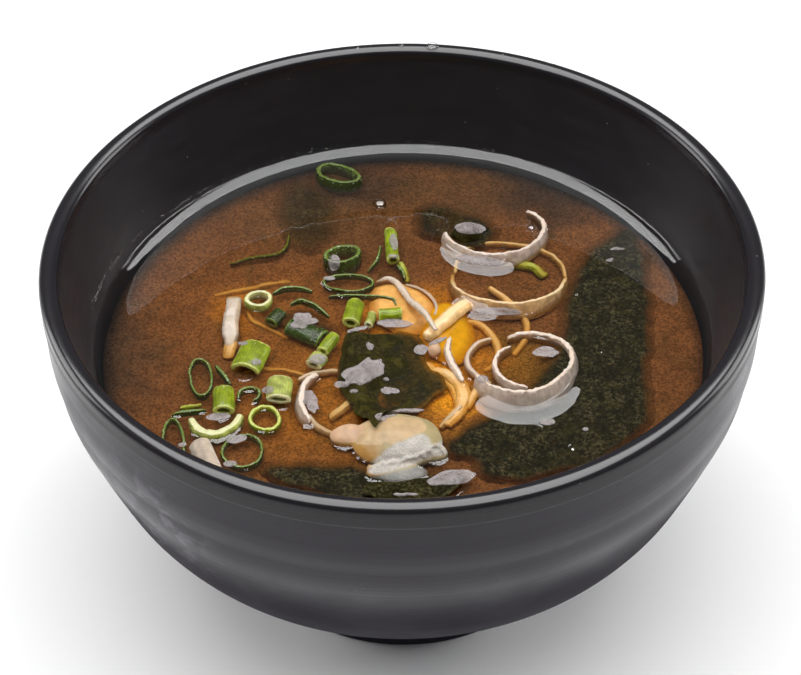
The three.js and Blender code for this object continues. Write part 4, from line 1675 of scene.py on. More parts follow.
def leek_pieces() -> Toppings:
    """Sizes of the leek's rings, strands and sticks."""
    rings = {
        "leek_ring_back": Ring(
            (16.8, 27.4), 9.2, 8.2, 1.1, 2.9, 1.3, 186, 408, toward=-110, lean=5.5, flare=16, knobs=0.16,
            wet=(196, 282, 1.15),
        ),
        "leek_ring_middle": Ring(
            (19, 15.3), 9.9, 9.9, 1.1, 3.3, -0.55, lean=15, phase=1, flare=10, knobs=0.12,
            wet=(208, 246, 1.2),
        ),
        "leek_ring_front": Ring(
            (20.3, -8.5), 8.7, 9.2, 1.2, 4.4, 1.85, -158, 105, toward=-80, lean=9, flare=14, knobs=0.2,
            wet=(-138, -22, 1.0),
        ),
        "leek_arc_inner": Ring(
            (21.4, -7.9), 5.9, 6.2, 0.9, 2.2, 0.8, 122, 262, lean=6, knobs=0.16
        ),
        "leek_ring_left": Ring(
            (-10.9, -15.6), 6.4, 7.6, 1.3, 3, 0.7, 127, 222, toward=180, lean=7, flare=10, knobs=0.16
        ),
    }
    strip = ((-29.6, 12.2, -1.1), (-29.4, 8.4, 0.9), (-29.6, 4, 1.2), (-29.5, -1.3, -0.6))
    back = (
        (-4.4, 15.4, -0.4), (-2.2, 15.2, 0.5), (-0.4, 12.4, 1.1), (1.4, 8, 1.7), (3.3, 4, 3),
        (4.7, 1, 3.2), (5.6, -0.8, 2.7),
    )
    right = ((8.2, -0.4, 0.4), (7.6, -3.6, 0.6), (8.3, -7.4, 0.8), (10, -11.3, 0.7))
    stick = ((4.3, -0.6, 1.4), (7.2, 2.8, 1.7), (10.5, 6.9, 1.5), (11.6, 8.0, 1.1))
    pieces: dict[str, tuple[Swept, Look]] = {name: (ring, Look.LEEK) for name, ring in rings.items()}
    pieces["leek_ring_middle"] = (rings["leek_ring_middle"], Look.TAN)
    pieces["leek_strip"] = (Strand(strip, 2.8, 1.6, 0.9, 3.4), Look.LEEK_WHITE)
    pieces["leek_strand_back"] = (Strand(back, 1.2, 0.9), Look.LEEK_WHITE)
    pieces["leek_strand_right"] = (Strand(right, 1.3, 1.4, knobs=0.12), Look.LEEK)
    pieces["leek_stick"] = (Strand(stick, 2.6, 1.9, 0.85, 2.6), Look.WARM)
    pieces["leek_rib"] = (Stalk((-32.2, -29), -70, 6.8, 3.6, 2.8, 0.9, 1.7), Look.LEEK_WHITE)
    return Toppings(pieces, 100)


def scallion_pieces() -> Toppings:
    """Sizes of the scallion's rings, arcs, strands and stalks."""
    dark, green, pale = Look.DARK, Look.GREEN, Look.PALE
    rings: list[tuple[Swept, Look]] = [
        (Ring((-11.6, 44.6), 4.3, 2.7, 0.9, 2.4, 0.9, turn=-40, lean=8, phase=0), dark),
        (Ring((-9.4, 14.2), 4.2, 2.3, 0.5, 1.3, 0.3, turn=-4, phase=1), dark),
        (Ring((-22.9, -19.9), 2.3, 2.8, 0.7, 1.5, 0.4, turn=10, phase=2), green),
        (Ring((-26.3, -27.4), 3.3, 3.6, 0.55, 1.4, 0.3, turn=-25, phase=3), dark),
        (Ring((-37.7, -25.4), 1.8, 5.4, 0.5, 1.4, 0.3, turn=4, phase=4), dark),
        (Ring((-34.1, -9.7), 1.9, 4.4, 0.5, 1.4, 0.35, turn=8, phase=5), dark),
        (Ring((-10.6, 20.7), 3.1, 2.5, 0.9, 3.2, 1.4, turn=20, lean=8, phase=6), dark),
        (Ring((-25.1, 9.6), 2, 1.9, 0.9, 1.8, 0.9, phase=7), pale),
    ]
    arcs: list[tuple[Swept, Look]] = [
        (Ring((-31, -19.3), 4.1, 4.4, 1.6, 2.2, 0.9, 192, 358), pale),
        (Ring((-25.8, -14.3), 1.8, 1.7, 0.6, 1.6, 0.5, -60, 200), dark),
    ]
    shreds = [
        (((-19.4, 8.5, 0.7), (-17.8, 9.1, 0.9), (-15.3, 7.9, 0.8), (-12.8, 5.5, 0.4)), 0.7),
        (((-22.6, 11.8, 0.3), (-20.5, 12.9, 0.5), (-18, 12.7, 0.6), (-15.8, 12.2, 0.5)), 0.7),
        (
            ((-12.8, 10.9, 0.3), (-8.5, 10.7, 0.4), (-4, 10.3, 0.5), (-1.6, 9.4, 0.7), (-1.1, 8, 0.6)),
            0.6,
        ),
        (((-3.7, 24.2, 0.5), (-4.4, 20.6, 0.3), (-6, 18, -0.1)), 0.6),
        (((-0.9, 18.9, 0.4), (0, 17.6, 0.3), (0.5, 15.8, -0.1)), 0.7),
        (((-31.7, -6.9, 0.5), (-30.6, -8.6, 0.5), (-29.1, -11, 0.1)), 0.9),
        (((-38.3, -18.6, 0.4), (-35.5, -18.3, 0.7), (-32.8, -17.7, 0.4)), 0.8),
    ]
    strands: list[tuple[Swept, Look]] = [(Strand(line, wall), dark) for line, wall in shreds]
    stalks: list[tuple[Swept, Look]] = [
        (Stalk((-1.8, 24), 93, 8.2, 2.3, 2.3, 0.6, 1.4), green),
        (Stalk((-8.5, 5.6), 80, 5.4, 3.1, 2.6, 0.8, 1.8), green),
        (Stalk((-5.5, 4.2), 78, 3.2, 1.5, 1.6, 0.45, 1), pale),
        (Stalk((-2.1, 5.2), 5, 4, 2.4, 2.2, 0.6, 1.6), green),
        (Stalk((-12.7, -2.2), 62, 4.4, 2.3, 2, 0.6, 1.5), green),
        (Stalk((-14.6, -6.2), 62, 2.6, 3, 2.2, 0.7, 1.4), pale),
        (Stalk((-29.9, -15.9), 92, 5.2, 3.7, 2.6, 0.8, 1.8), green),
        (Stalk((-20.7, -13.6), 88, 4.8, 4.3, 2.4, 0.8, 1.8), pale),
        (Stalk((-22, 5.5), 60, 3.2, 2.7, 2, 0.6, 0.8), dark),
        (Stalk((-25.8, -5.2), 73, 6.4, 5.2, 3.2, 0.9, 1.7, 165, 375), green),
        (Stalk((-16.6, 1.7), -32, 6.8, 4.2, 2.8, 0.8, 0.9, 170, 370), dark),
    ]
    kinds = {"ring": rings, "arc": arcs, "strand": strands, "stalk": stalks}
    pieces = {
        f"scallion_{kind}_{i:02d}": item
        for kind, items in kinds.items()
        for i, item in enumerate(items, 1)
    }
    return Toppings(pieces, 500)


# ---- the onion chunk --------------------------------------------------------------------------


@dataclass
class OnionChunk:
    """The heavy piece of onion in front, two thick layers with a torn, grainy edge.

    Attributes:
        dome: Middle and half axes of its main mound.
        lobes: The same of the mounds that it melts into.
        edge: x, y and height over the level along its torn edge.
        skin: Outline of its wet skin as the diner sees it, x and y, where a painted sheen lies.
        lobe_skin: The same of the rosy lobe, which carries a painted sheen.
        torn: The same of its torn, chalky side, which also carries a painted sheen.
        knob: Middle and half axes of the small knob behind it.
        seed: Which throw of torn cells it has.
    """

    dome: tuple[tuple[float, float, float], tuple[float, float, float]] = (
        (-1, -25.5, SOUP_Z - 0.2),
        (7.6, 5.7, 3.2),
    )
    lobes: tuple[tuple[tuple[float, float, float], tuple[float, float, float]], ...] = (
        ((-8.7, -24.3, SOUP_Z - 0.3), (3.4, 2.3, 1.9)),
        ((-1.2, -32.4, SOUP_Z - 0.7), (5.0, 2.3, 1.7)),
        ((4.8, -28.2, SOUP_Z - 0.4), (2.5, 2.0, 1.7)),
    )
    edge: Rows = (
        (-5.8, -31.9, 0.2), (-3.1, -31.4, 0.75), (-0.9, -31.0, 0.95), (0.9, -30.3, 1.1),
        (2.6, -29.6, 1.2), (4.0, -28.5, 1.25), (5.0, -27.8, 1.3), (6.6, -28.8, 0.8),
    )
    skin: Outline = (
        (-8.6, -25.4), (-8.0, -22.0), (-5.0, -19.9), (-1.0, -19.4), (2.0, -19.9), (3.5, -21.3),
        (3.2, -22.8), (0.8, -24.3), (-1.1, -25.9), (-2.9, -25.2), (-4.2, -25.9),
    )
    lobe_skin: Outline = (
        (-12.6, -22.8), (-11.6, -20.6), (-8.6, -19.6), (-6.8, -20.8), (-6.9, -23.4), (-8.6, -25.6),
        (-11.4, -25.2),
    )
    torn: Outline = (
        (-5.4, -30.6), (-3.6, -28.0), (-1.2, -25.6), (0.6, -24.6), (2.6, -23.4), (3.9, -24.4),
        (4.6, -26.0), (6.8, -25.4), (7.4, -28.2), (4.4, -29.2), (1.2, -31.0), (-2.6, -32.4),
        (-5.4, -32.8),
    )
    knob: tuple[tuple[float, float, float], tuple[float, float, float]] = (
        (5.4, -3.4, SOUP_Z - 0.1),
        (1.2, 1.5, 1.5),
    )
    seed: int = 7

    def within(self, seen: Points, outline: Sequence[tuple[float, float]], soft: float) -> Points:
        """Tells how far inside an outline each point shows, from 0 to 1."""
        rim = spline(outline, 120, closed=True)
        jagged = seen + np.column_stack([ripple(seen, 0.7, k) for k in (33, 35)]) * 0.22
        gap = nearest(jagged, rim) * np.where(inside(jagged, rim), 1.0, -1.0)
        return smooth(gap, -soft, soft)

    def tones(self, made: Shape) -> Shape:
        """Gives a melted piece its shades: its skin and torn side, both with painted sheen."""
        seen = made.points[:, :2].copy()
        seen[:, 1] += SLANT * (made.points[:, 2] - SOUP_Z)
        made.tones = {
            "amber": smooth(seen[:, 0], -2.0, -6.0) * smooth(seen[:, 1], -23.0, -27.0),
            # The skin, the rosy lobe and the torn side carry painted sheen.
            "peach_sheen": self.within(seen, self.skin, 0.12),
            "pink_sheen": self.within(seen, self.lobe_skin, 0.15),
            "chalk_sheen": self.within(seen, self.torn, 0.5),
            # The lowest layer is painted grey, a painted reflection of the room.
            "low": smooth(seen[:, 1] - 0.35 * seen[:, 0], -31.2, -32.4),
        }
        return made

    def grains(self, line: Points) -> list[Shape]:
        """Returns the torn cells that stand along a line."""
        dice = np.random.default_rng(self.seed)
        made = []
        for at in line:
            size = dice.uniform(0.22, 0.42)
            moved = at + dice.normal(0.0, (0.2, 0.3, 0.15))
            made.append(ball(moved, (size, size * dice.uniform(0.8, 1.3), size * 1.1), 10, 6))
        return made

    def build(self, finish: bpy.types.Material) -> list[Footprint]:
        """Makes the chunk and the small knob.

        Args:
            finish: The onion's flesh.

        Returns:
            Where they break the level.
        """
        parts = [ball(at, half) for at, half in (self.dome, *self.lobes)]
        ridge = spline([(x, y, SOUP_Z + z) for x, y, z in self.edge], 64)
        edge = sweep(ridge, False, 0.8, 0.8, 14, 2.2)
        made = fused(parts[0].joined(*parts[1:], edge, *self.grains(ridge)), 0.2, 3)
        made.roughened(3.4, 0.3, 71)
        made.roughened(0.8, 0.06, 73)
        settle(self.tones(made).make("onion_chunk_layers", finish), "onion", "onion_chunk")
        small = ball(*self.knob, 28, 16).roughened(1.3, 0.25, 79)
        small.tones = {"pink_sheen": np.ones(len(small.points))}
        settle(small.make("onion_knob_bit", finish), "onion", "onion_knob")
        mounds = (self.dome, *self.lobes, self.knob)
        return [Footprint.within(ellipse(at, half), 0.15) for at, half in mounds]


# ---- seaweed ----------------------------------------------------------------------------------


@dataclass
class Seaweed:
    """The wakame that lies on top: the leaf over the onion, the front scrap and the back fold.

    Attributes:
        leaf: Outline of the leaf, x and y.
        front: Outline of the front scrap.
        fold_at: Middle of the fold.
        fold_half: Its half axes.
        thick: Thickness of a blade.
        spacing: Distance between its mesh points.
    """

    leaf: Outline = (
        (-9.4, 1.4), (-6.4, 0.5), (-3.2, 0.9), (-0.4, 0), (1.6, -2.2), (1.5, -5.6), (3.2, -9.6),
        (5.2, -12.8), (4.3, -16), (1.6, -18.4), (-1.6, -19.4), (-3.3, -22.4), (-4.6, -25.4),
        (-5.8, -22.6), (-8, -19.6), (-8.6, -16.6), (-10.6, -12.8), (-11.2, -9.6), (-10.6, -5),
        (-10.3, -1.6),
    )
    front: Outline = (
        (-6.4, -36.6), (-3, -35.6), (0.6, -35.3), (4, -34.9), (7.6, -33.9), (9.6, -35.2), (7.4, -38.2),
        (2.6, -40), (-2.4, -39.8), (-5.8, -38.6),
    )
    fold_at: tuple[float, float, float] = (11.9, 27.2, SOUP_Z - 0.4)
    fold_half: tuple[float, float, float] = (2.9, 2.1, 2.2)
    thick: float = 0.45
    spacing: float = 0.38

    def leaf_height(self, place: Points, edge: Points) -> Points:
        """Height of the leaf, which waves over the soup and climbs the onion."""
        x, y = place.T
        waves = 0.35 * np.sin(x * 0.75 + 1) + 0.3 * np.sin(y * 0.62 - x * 0.3)
        middle, half = OnionChunk.dome
        reach = np.array(half) + 0.5
        dome = 1 - ((x - middle[0]) / reach[0]) ** 2 - ((y - middle[1]) / reach[1]) ** 2
        over = np.where(dome > 0.0, 0.1 + reach[2] * np.sqrt(np.maximum(dome, 0.0)), -5.0)
        wrinkles = 0.22 * ripple(place, 2.2, 41) + 0.1 * ripple(place, 0.9, 43)
        # Its right side and its rim have sunk a little way into the soup.
        sunk = 1.5 * smooth(x - 0.2 * y, -4.0, 3.0) + 0.8 * smooth(edge, 1.4, 0.0)
        afloat = np.maximum(0.75 + waves - sunk, -0.45) + 1.0 * smooth(dome, -0.6, 0.0)
        return SOUP_Z + np.maximum(afloat, over) + wrinkles

    def front_height(self, place: Points, edge: Points) -> Points:
        """Height of the front scrap."""
        x, y = place.T
        wrinkles = 0.2 * ripple(place, 2.0, 45) + 0.1 * ripple(place, 0.8, 47)
        return SOUP_Z + 1.0 + 0.25 * np.sin(x * 0.9) + 0.15 * np.sin(y * 1.3 + x * 0.4) + wrinkles

    def build(self, finish: bpy.types.Material, dark: bpy.types.Material) -> list[Footprint]:
        """Makes the floating seaweed.

        Args:
            finish: The wakame's finish.
            dark: That of the front scrap, which shows as dark as what is sunk.

        Returns:
            Where it breaks the level.
        """
        leaf = Sheet(self.leaf, self.thick, 0.5, self.spacing, 3).build(self.leaf_height)
        settle(leaf.make("seaweed_leaf_blade", finish), "seaweed", "seaweed_leaf")
        front = Sheet(self.front, self.thick, 0.4, self.spacing, 4).build(self.front_height)
        settle(front.make("seaweed_front_blade", dark), "seaweed", "seaweed_front")
        fold = ball(self.fold_at, self.fold_half, 56, 30)
        fold.roughened(2.4, 0.35, 51)
        fold.roughened(0.9, 0.1, 53)
        fold.tones = {"edge": np.full(len(fold.points), 3.0)}
        settle(fold.make("seaweed_fold_blade", finish), "seaweed", "seaweed_fold")
        rims = [spline(outline, 90, closed=True) for outline in (self.leaf, self.front)]
        prints = [Footprint.within(rim, 0.12) for rim in rims]
        return [*prints, Footprint.within(ellipse(self.fold_at, self.fold_half), 0.2)]


# ---- what is sunk -----------------------------------------------------------------------------


@dataclass(frozen=True)
class SunkSheet:
    """A leaf under the level, laid out as the diner sees it through the soup.

    Attributes:
        name: The piece's name.
        outline: Its rim, x and y as seen.
        near: Depth of its middle.
        far: Depth of its rim, which fades into the soup.
        fade: Distance over which it sinks from one to the other.
        waves: Height of its waves.
        seed: Which noise it takes.
        blade: Its finish.
        reach: Radius that it keeps within, inside the wall of the bowl.
    """

    name: str
    outline: Outline
    near: float
    far: float
    fade: float = 4.0
    waves: float = 0.4
    seed: int = 1
    blade: Blade = Blade.SUNK
    reach: float = 50.2

    def height(self, place: Points, edge: Points) -> Points:
        """Height of the sheet from its distance to the rim."""
        deep = self.far + (self.near - self.far) * smooth(edge, 0.0, self.fade)
        swell = ripple(place, 7.0, self.seed) + 0.5 * ripple(place, 3.0, self.seed + 1)
        return SOUP_Z - np.clip(deep - self.waves * swell, 0.3, 2.2)

    def build(self) -> Shape:
        """Builds the sheet at its depths."""
        made = Sheet(self.outline, 0.3, 0.9, 0.8, self.seed, 1.2).build(self.height)
        made.points[:, 1] += SLANT * (SOUP_Z - made.points[:, 2])
        out = np.linalg.norm(made.points[:, :2], axis=1)
        made.points[:, :2] *= np.minimum(1.0, self.reach / np.maximum(out, 1e-6))[:, None]
        return made


@dataclass(frozen=True)
class SunkStrand:
    """A shred under the level, laid out as the diner sees it through the soup.

    Attributes:
        name: The piece's name.
        line: x, y as seen and depth of its top.
        wall: Its width.
        tall: Its thickness.
        look: Its flesh.
        rise: Share of those depths at which it hangs.
    """

    name: str
    line: Rows
    wall: float
    tall: float
    look: Look = Look.WARM
    rise: float = 0.5

    def build(self, seed: int) -> Shape:
        """Builds the strand at its depths."""
        sunk = tuple((x, y + SLANT * deep * self.rise, -deep * self.rise) for x, y, deep in self.line)
        made, _ = Strand(sunk, self.wall, self.tall, taper=0.8, square=2.4, knobs=0.05).build(seed)
        return made


@dataclass(frozen=True)
class SunkSlice:
    """A round slice that bulges up to just under the level.

    Attributes:
        name: The piece's name.
        outline: Its rim, x and y.
        deep: Depth of its top.
        flesh: Its finish.
        bulge: How far its middle stands over its rim.
    """

    name: str
    outline: Outline
    deep: float
    flesh: Flesh
    bulge: float = 0.9

    def height(self, place: Points, edge: Points) -> Points:
        """Height of the slice from its distance to the rim."""
        rim = SOUP_Z - self.deep - self.bulge
        return rim + self.bulge * smooth(edge, 0.0, 2.2) + 0.06 * ripple(place, 2.0, 95)

    def build(self) -> Shape:
        """Builds the slice, with the tones that its flesh reads."""
        made = Sheet(self.outline, 0.5, 0.3, 0.5, 93).build(self.height)
        made.tones = {
            "along": made.points[:, 0] * 0.6 + made.points[:, 1] * 0.8,
            "side": np.ones(len(made.points)),
            "lift": np.zeros(len(made.points)),
        }
        return made


GOLDEN = Flesh("leek_heart_golden", "#d29a12", "#cc9010", "#dcb040", 2.4, 0.04, 0.1, mottle=0.14, gloss=0.0)
PEACH = Flesh("leek_cap_clear", "#dea65c", "#d89a48", "#e6bc7c", 1.4, 0.03, 0.2, mottle=0.14, gloss=0.0)


@dataclass
class SunkToppings:
    """Everything that hangs wholly in the soup."""

    sheets: tuple[SunkSheet, ...] = (
        SunkSheet(
            "wakame_sunk_right",
            (
                (35, 24.5), (38, 27.4), (40, 28.9), (42.4, 28.1), (43.8, 22.9), (44.2, 17), (44, 11.5),
                (43.4, 5), (42.8, -0.8), (42.2, -6), (41.8, -11.2), (41, -20), (38, -26), (32, -31.5),
                (24, -34), (17.5, -35.6), (12.6, -34), (11, -30.6), (6.6, -28.6), (6.8, -25.6),
                (9.6, -22), (14, -19.6), (17, -18.4), (19.6, -15.6), (21.4, -12), (23.8, -8.4), (26, -4.4),
                (27, -0.2), (27.4, 4.9), (28.6, 11.1), (31.2, 18.1),
            ),
            0.22, 2.0, 3.0, 0.1, 61,
        ),
        SunkSheet(
            "wakame_sunk_front",
            ((-23, -31.5), (-16, -30.8), (-9, -30.6), (-3, -33), (3, -32.6), (8.4, -33), (8, -36.5),
             (4, -39.2), (-3, -40), (-10, -38.8), (-17, -36.4)),
            0.22, 2.0, 2.6, 0.1, 63,
        ),
        SunkSheet(
            "wakame_sunk_left",
            ((-22.5, 30), (-23.5, 36), (-22, 42), (-18.5, 45), (-14.5, 41), (-11.6, 35.5), (-11, 30),
             (-12.5, 25), (-16.5, 22), (-20.5, 24.5)),
            0.7, 2.1, 4.0, 0.2, 65,
        ),
        SunkSheet(
            "wakame_sunk_back",
            ((2.5, 29), (3, 34.5), (6.5, 36.2), (11, 34.6), (15.5, 31.6), (17.2, 27.4), (15.4, 23.6),
             (10.6, 23.2), (7.4, 25.4), (5.2, 26.2)),
            0.35, 2.1, 3.0, 0.2, 67,
        ),
        SunkSheet(
            "wakame_sunk_olive",
            ((-22, 5), (-18.6, 6.4), (-14, 4.6), (-11.6, 0.6), (-14.4, -1.6), (-18.4, 0.4)),
            0.6, 2.1, 2.4, 0.2, 69,
        ),
        SunkSheet(
            "wakame_sunk_skirt",
            ((-1, 0.6), (1.3, -0.1), (2.6, -2.7), (2.6, -5.7), (3.5, -8.8), (5.9, -10.3), (6.5, -12.3),
             (5.1, -13.7), (3.8, -14.6), (2.1, -16.5), (-0.6, -17), (-2.6, -15), (-3, -8), (-2, -3)),
            0.25, 0.5, 1.5, 0.1, 83, Blade.THIN,
        ),
    )
    strands: tuple[SunkStrand, ...] = (
        SunkStrand(
            "leek_sunk_curl",
            ((15.5, 13, 0.3), (18, 10, 0.8), (20.5, 6.5, 1.2), (21.5, 3, 1.5), (21, -1, 1.6),
             (19, -4.5, 1.8)),
            1.3, 1.5,
        ),
        SunkStrand(
            "leek_sunk_arc",
            ((9, 4, 1.6), (13, 3.5, 1.3), (15.5, 0, 1.2), (16.3, -4, 1.4), (15.6, -7, 1.8),
             (14, -8.5, 2.2)),
            1.4, 1.5,
        ),
        SunkStrand(
            "leek_near_arc",
            ((15, -0.5, 0.3), (12.5, -2, 0.2), (11, -5, 0.2), (11.3, -8, 0.2), (13, -10.3, 0.3),
             (14.5, -11.5, 0.4)),
            1.2, 1.4, Look.LEEK,
        ),
        SunkStrand(
            "leek_sunk_hook",
            ((3, -6, 1.5), (6, -9, 1.3), (8.5, -13, 1.4), (9, -17, 1.9)), 1.7, 1.8,
        ),
        SunkStrand(
            "leek_sunk_shred",
            ((10, -13, 0.5), (9.5, -17, 0.6), (7, -20.5, 0.8), (6, -22, 1.2)), 1.2, 1.4, Look.LEEK,
        ),
        SunkStrand(
            "leek_sunk_wisp",
            ((12.4, -12.6, 0.4), (11.6, -15, 0.7), (10.6, -17.4, 1.2)), 1.5, 1.2,
        ),
        SunkStrand(
            "leek_sunk_ring_top",
            ((-17.4, -10, 0.3), (-15.4, -8.8, 0.4), (-12.6, -8.2, 0.9), (-10.4, -8.4, 1.3)), 1.2, 1.3,
            Look.LEEK,
        ),
        SunkStrand(
            "leek_sunk_ring_low",
            ((-15.7, -19, 0.3), (-14.4, -21.2, 0.7), (-12.4, -22.9, 1.0), (-9.8, -23.8, 1.3)), 1.3, 1.4,
            Look.LEEK,
        ),
        SunkStrand(
            "leek_sunk_stick",
            ((-12, -19.4, 1.2), (-10, -17.2, 1.0), (-7.6, -14.2, 1.1)), 1.8, 1.3, Look.TAN,
        ),
        SunkStrand(
            "leek_sunk_far_arc",
            ((-27, -8.6, 2.2), (-24, -7.8, 1.9), (-20.4, -7.9, 1.7), (-17, -9, 1.3)), 1.4, 1.2,
            Look.TAN, 0.68,
        ),
        SunkStrand(
            "leek_sunk_thread",
            ((-27, 7, 1.9), (-26, 4.6, 1.9), (-24, 3, 2.0), (-20, 0, 2.2)), 1.3, 1.2, Look.TAN, 0.68,
        ),
        SunkStrand(
            "leek_sunk_strip_tail",
            ((-29.5, 0.2, 0.5), (-29.6, -2.2, 0.7), (-29.9, -4.4, 1.4)), 2.3, 1.0,
        ),
        SunkStrand(
            "leek_sunk_back_thread",
            ((-33, 11.6, 2.1), (-28, 13, 1.8), (-24, 14.2, 1.8), (-20, 15, 2.2)), 1.6, 1.2,
            Look.TAN, 0.68,
        ),
        SunkStrand(
            "scallion_sunk_right",
            ((19.2, 19.6, 1.3), (21.4, 19.4, 0.9), (23.6, 18.2, 0.8), (25.2, 16.2, 1.1)), 2.2, 1.3,
            Look.GREEN,
        ),
        SunkStrand(
            "scallion_sunk_tail",
            ((-0.2, 20, 0.4), (0.4, 17.6, 0.8), (0.9, 14.8, 1.5)), 1.4, 1.0, Look.GREEN,
        ),
        SunkStrand(
            "scallion_sunk_left",
            ((-37, -16.8, 0.6), (-35.4, -16.4, 0.5), (-33.8, -16.2, 0.9)), 0.9, 0.8, Look.GREEN,
        ),
        SunkStrand(
            "leek_sunk_ring_back",
            ((9.4, 17.2, 0.7), (9.8, 19.4, 0.8), (11.1, 22.9, 0.9), (13.9, 24.7, 1.0), (17.7, 25.1, 1.0),
             (22.3, 24.1, 0.9), (26.2, 22.1, 0.8), (28.4, 18.9, 0.7), (28.9, 15.6, 0.7)),
            1.1, 1.5, Look.TAN,
        ),
        SunkStrand(
            "leek_cap_rim",
            ((0.7, 13.8, 0.5), (2.8, 12.9, 0.2), (4.9, 10.8, 0.1), (5.9, 8.1, 0.1),
             (5.6, 5.5, 0.1), (4.4, 3.4, 0.4)),
            0.6, 0.5, Look.LEEK_WHITE,
        ),
        SunkStrand(
            "leek_gold_arc",
            ((5.6, -8.0, 0.6), (8.6, -10.4, 0.5), (10.0, -14.0, 0.5), (9.4, -18.0, 0.7),
             (7.0, -21.4, 1.0)),
            2.6, 1.2,
        ),
        SunkStrand(
            "wakame_sunk_rim",
            ((-30.6, 20.2, 1.4), (-27, 21.6, 0.9), (-22.6, 22.6, 0.9), (-20.8, 24.6, 1.0),
             (-20.4, 28, 1.6)),
            0.7, 0.7, Look.DARK,
        ),
    )
    slices: tuple[SunkSlice, ...] = (
        SunkSlice(
            "golden_slice",
            ((4.0, 7.5), (5.8, 9.6), (8.6, 9.9), (10.8, 7.6), (12.2, 3.6), (12.4, -0.6), (11.4, -4.2),
             (9.2, -6.4), (6.8, -5.6), (4.6, -3.0), (3.0, 1.0), (3.0, 4.6)),
            0.25, GOLDEN,
        ),
        SunkSlice(
            "leek_cap",
            ((-5.4, 6), (-6, 10), (-5, 14), (-1, 15.2), (3.2, 13.0), (5.6, 9.6), (6, 6.4), (4.6, 2.6),
             (0, 1.4)),
            0.12, PEACH,
        ),
    )

    def build(
        self, looks: dict[Look, bpy.types.Material], blades: dict[Blade, bpy.types.Material]
    ) -> None:
        """Makes the sunk sheets, shreds and round slices.

        Args:
            looks: The finish of each kind of flesh.
            blades: The finish of each state of seaweed.
        """
        for sheet in self.sheets:
            settle(sheet.build().make(sheet.name, blades[sheet.blade]), "seaweed")
        for i, strand in enumerate(self.strands):
            settle(strand.build(900 + 13 * i).make(strand.name, looks[strand.look]), strand.look.slot)
        for piece in self.slices:
            settle(piece.build().make(piece.name, piece.flesh.material()), "leek_warm")


# ---- films of soup with painted sheen, and beads of soup --------------------------------------


# Least distance between the mesh points of a film.
FILM_STEP = 0.13
# A film tears where the ground steps by more than this many mesh spacings.
FILM_TEAR = 14.0
# How often its skin is evened out.
FILM_ROUNDS = 26


@dataclass(frozen=True)
class Film:
    """A film of clouded soup that clings to whatever lies under it, laid where the light is mirrored and
    painted with that sheen.

    Attributes:
        at: Its middle as the diner sees it, x and y.
        half: Its half sizes as seen.
        turn: The way that its long side points, in degrees.
        torn: How far its rim wanders.
        thick: How far it stands out.
    """

    at: tuple[float, float]
    half: tuple[float, float]
    turn: float = 0.0
    torn: float = 0.2
    thick: float = 0.2

    def build(self, ground: BVHTree, eye: Points, seed: int) -> Shape:
        """Lays the film over the ground.

        Args:
            ground: The pieces that it may lie on, in millimetres.
            eye: Where the diner's eye is, in millimetres.
            seed: Which noise it takes.

        Returns:
            A thin closed blob.
        """
        turn = np.linspace(0, 2 * math.pi, 18, endpoint=False)
        way = math.radians(self.turn)
        x, y = self.half[0] * np.cos(turn), self.half[1] * np.sin(turn)
        across, over = math.cos(way), math.sin(way)
        rim = np.column_stack([x * across - y * over, x * over + y * across])
        rim *= 1 + self.torn * ripple(rim * 2 + seed, 1.5, seed)[:, None]
        outline = tuple((px + self.at[0], py + self.at[1]) for px, py in rim)
        spacing = max(FILM_STEP, min(self.half) / 8)
        flat, faces, edge = Sheet(outline, self.thick, 0.9 * self.torn, spacing, seed).laid()
        sight = np.column_stack([flat, np.full(len(flat), SOUP_Z)]) - eye
        sight /= np.linalg.norm(sight, axis=1, keepdims=True)
        far = np.array([ground.ray_cast(Vector(eye), Vector(s))[3] or 0.0 for s in sight])
        near = far[faces]
        faces = faces[(near.max(1) - near.min(1) < FILM_TEAR * spacing) & (near.min(1) > 0.0)]
        # Its tension draws the film straight over the hollows, and the bumps hold it up.
        held = far
        uses = np.maximum(np.bincount(faces.ravel(), minlength=len(far)), 1)
        for _ in range(FILM_ROUNDS):
            means = np.repeat(far[faces].mean(1), 3)
            evened = np.bincount(faces.ravel(), weights=means, minlength=len(far)) / uses
            far = np.where(evened > 0.0, np.minimum(evened, held), far)
        swell = 0.02 + self.thick * np.sqrt(smooth(edge, -0.05, min(self.half) * 0.8))
        upper = eye + sight * (far - swell)[:, None]
        under = eye + sight * (far + 0.05)[:, None]
        return between(faces, upper, under, {})


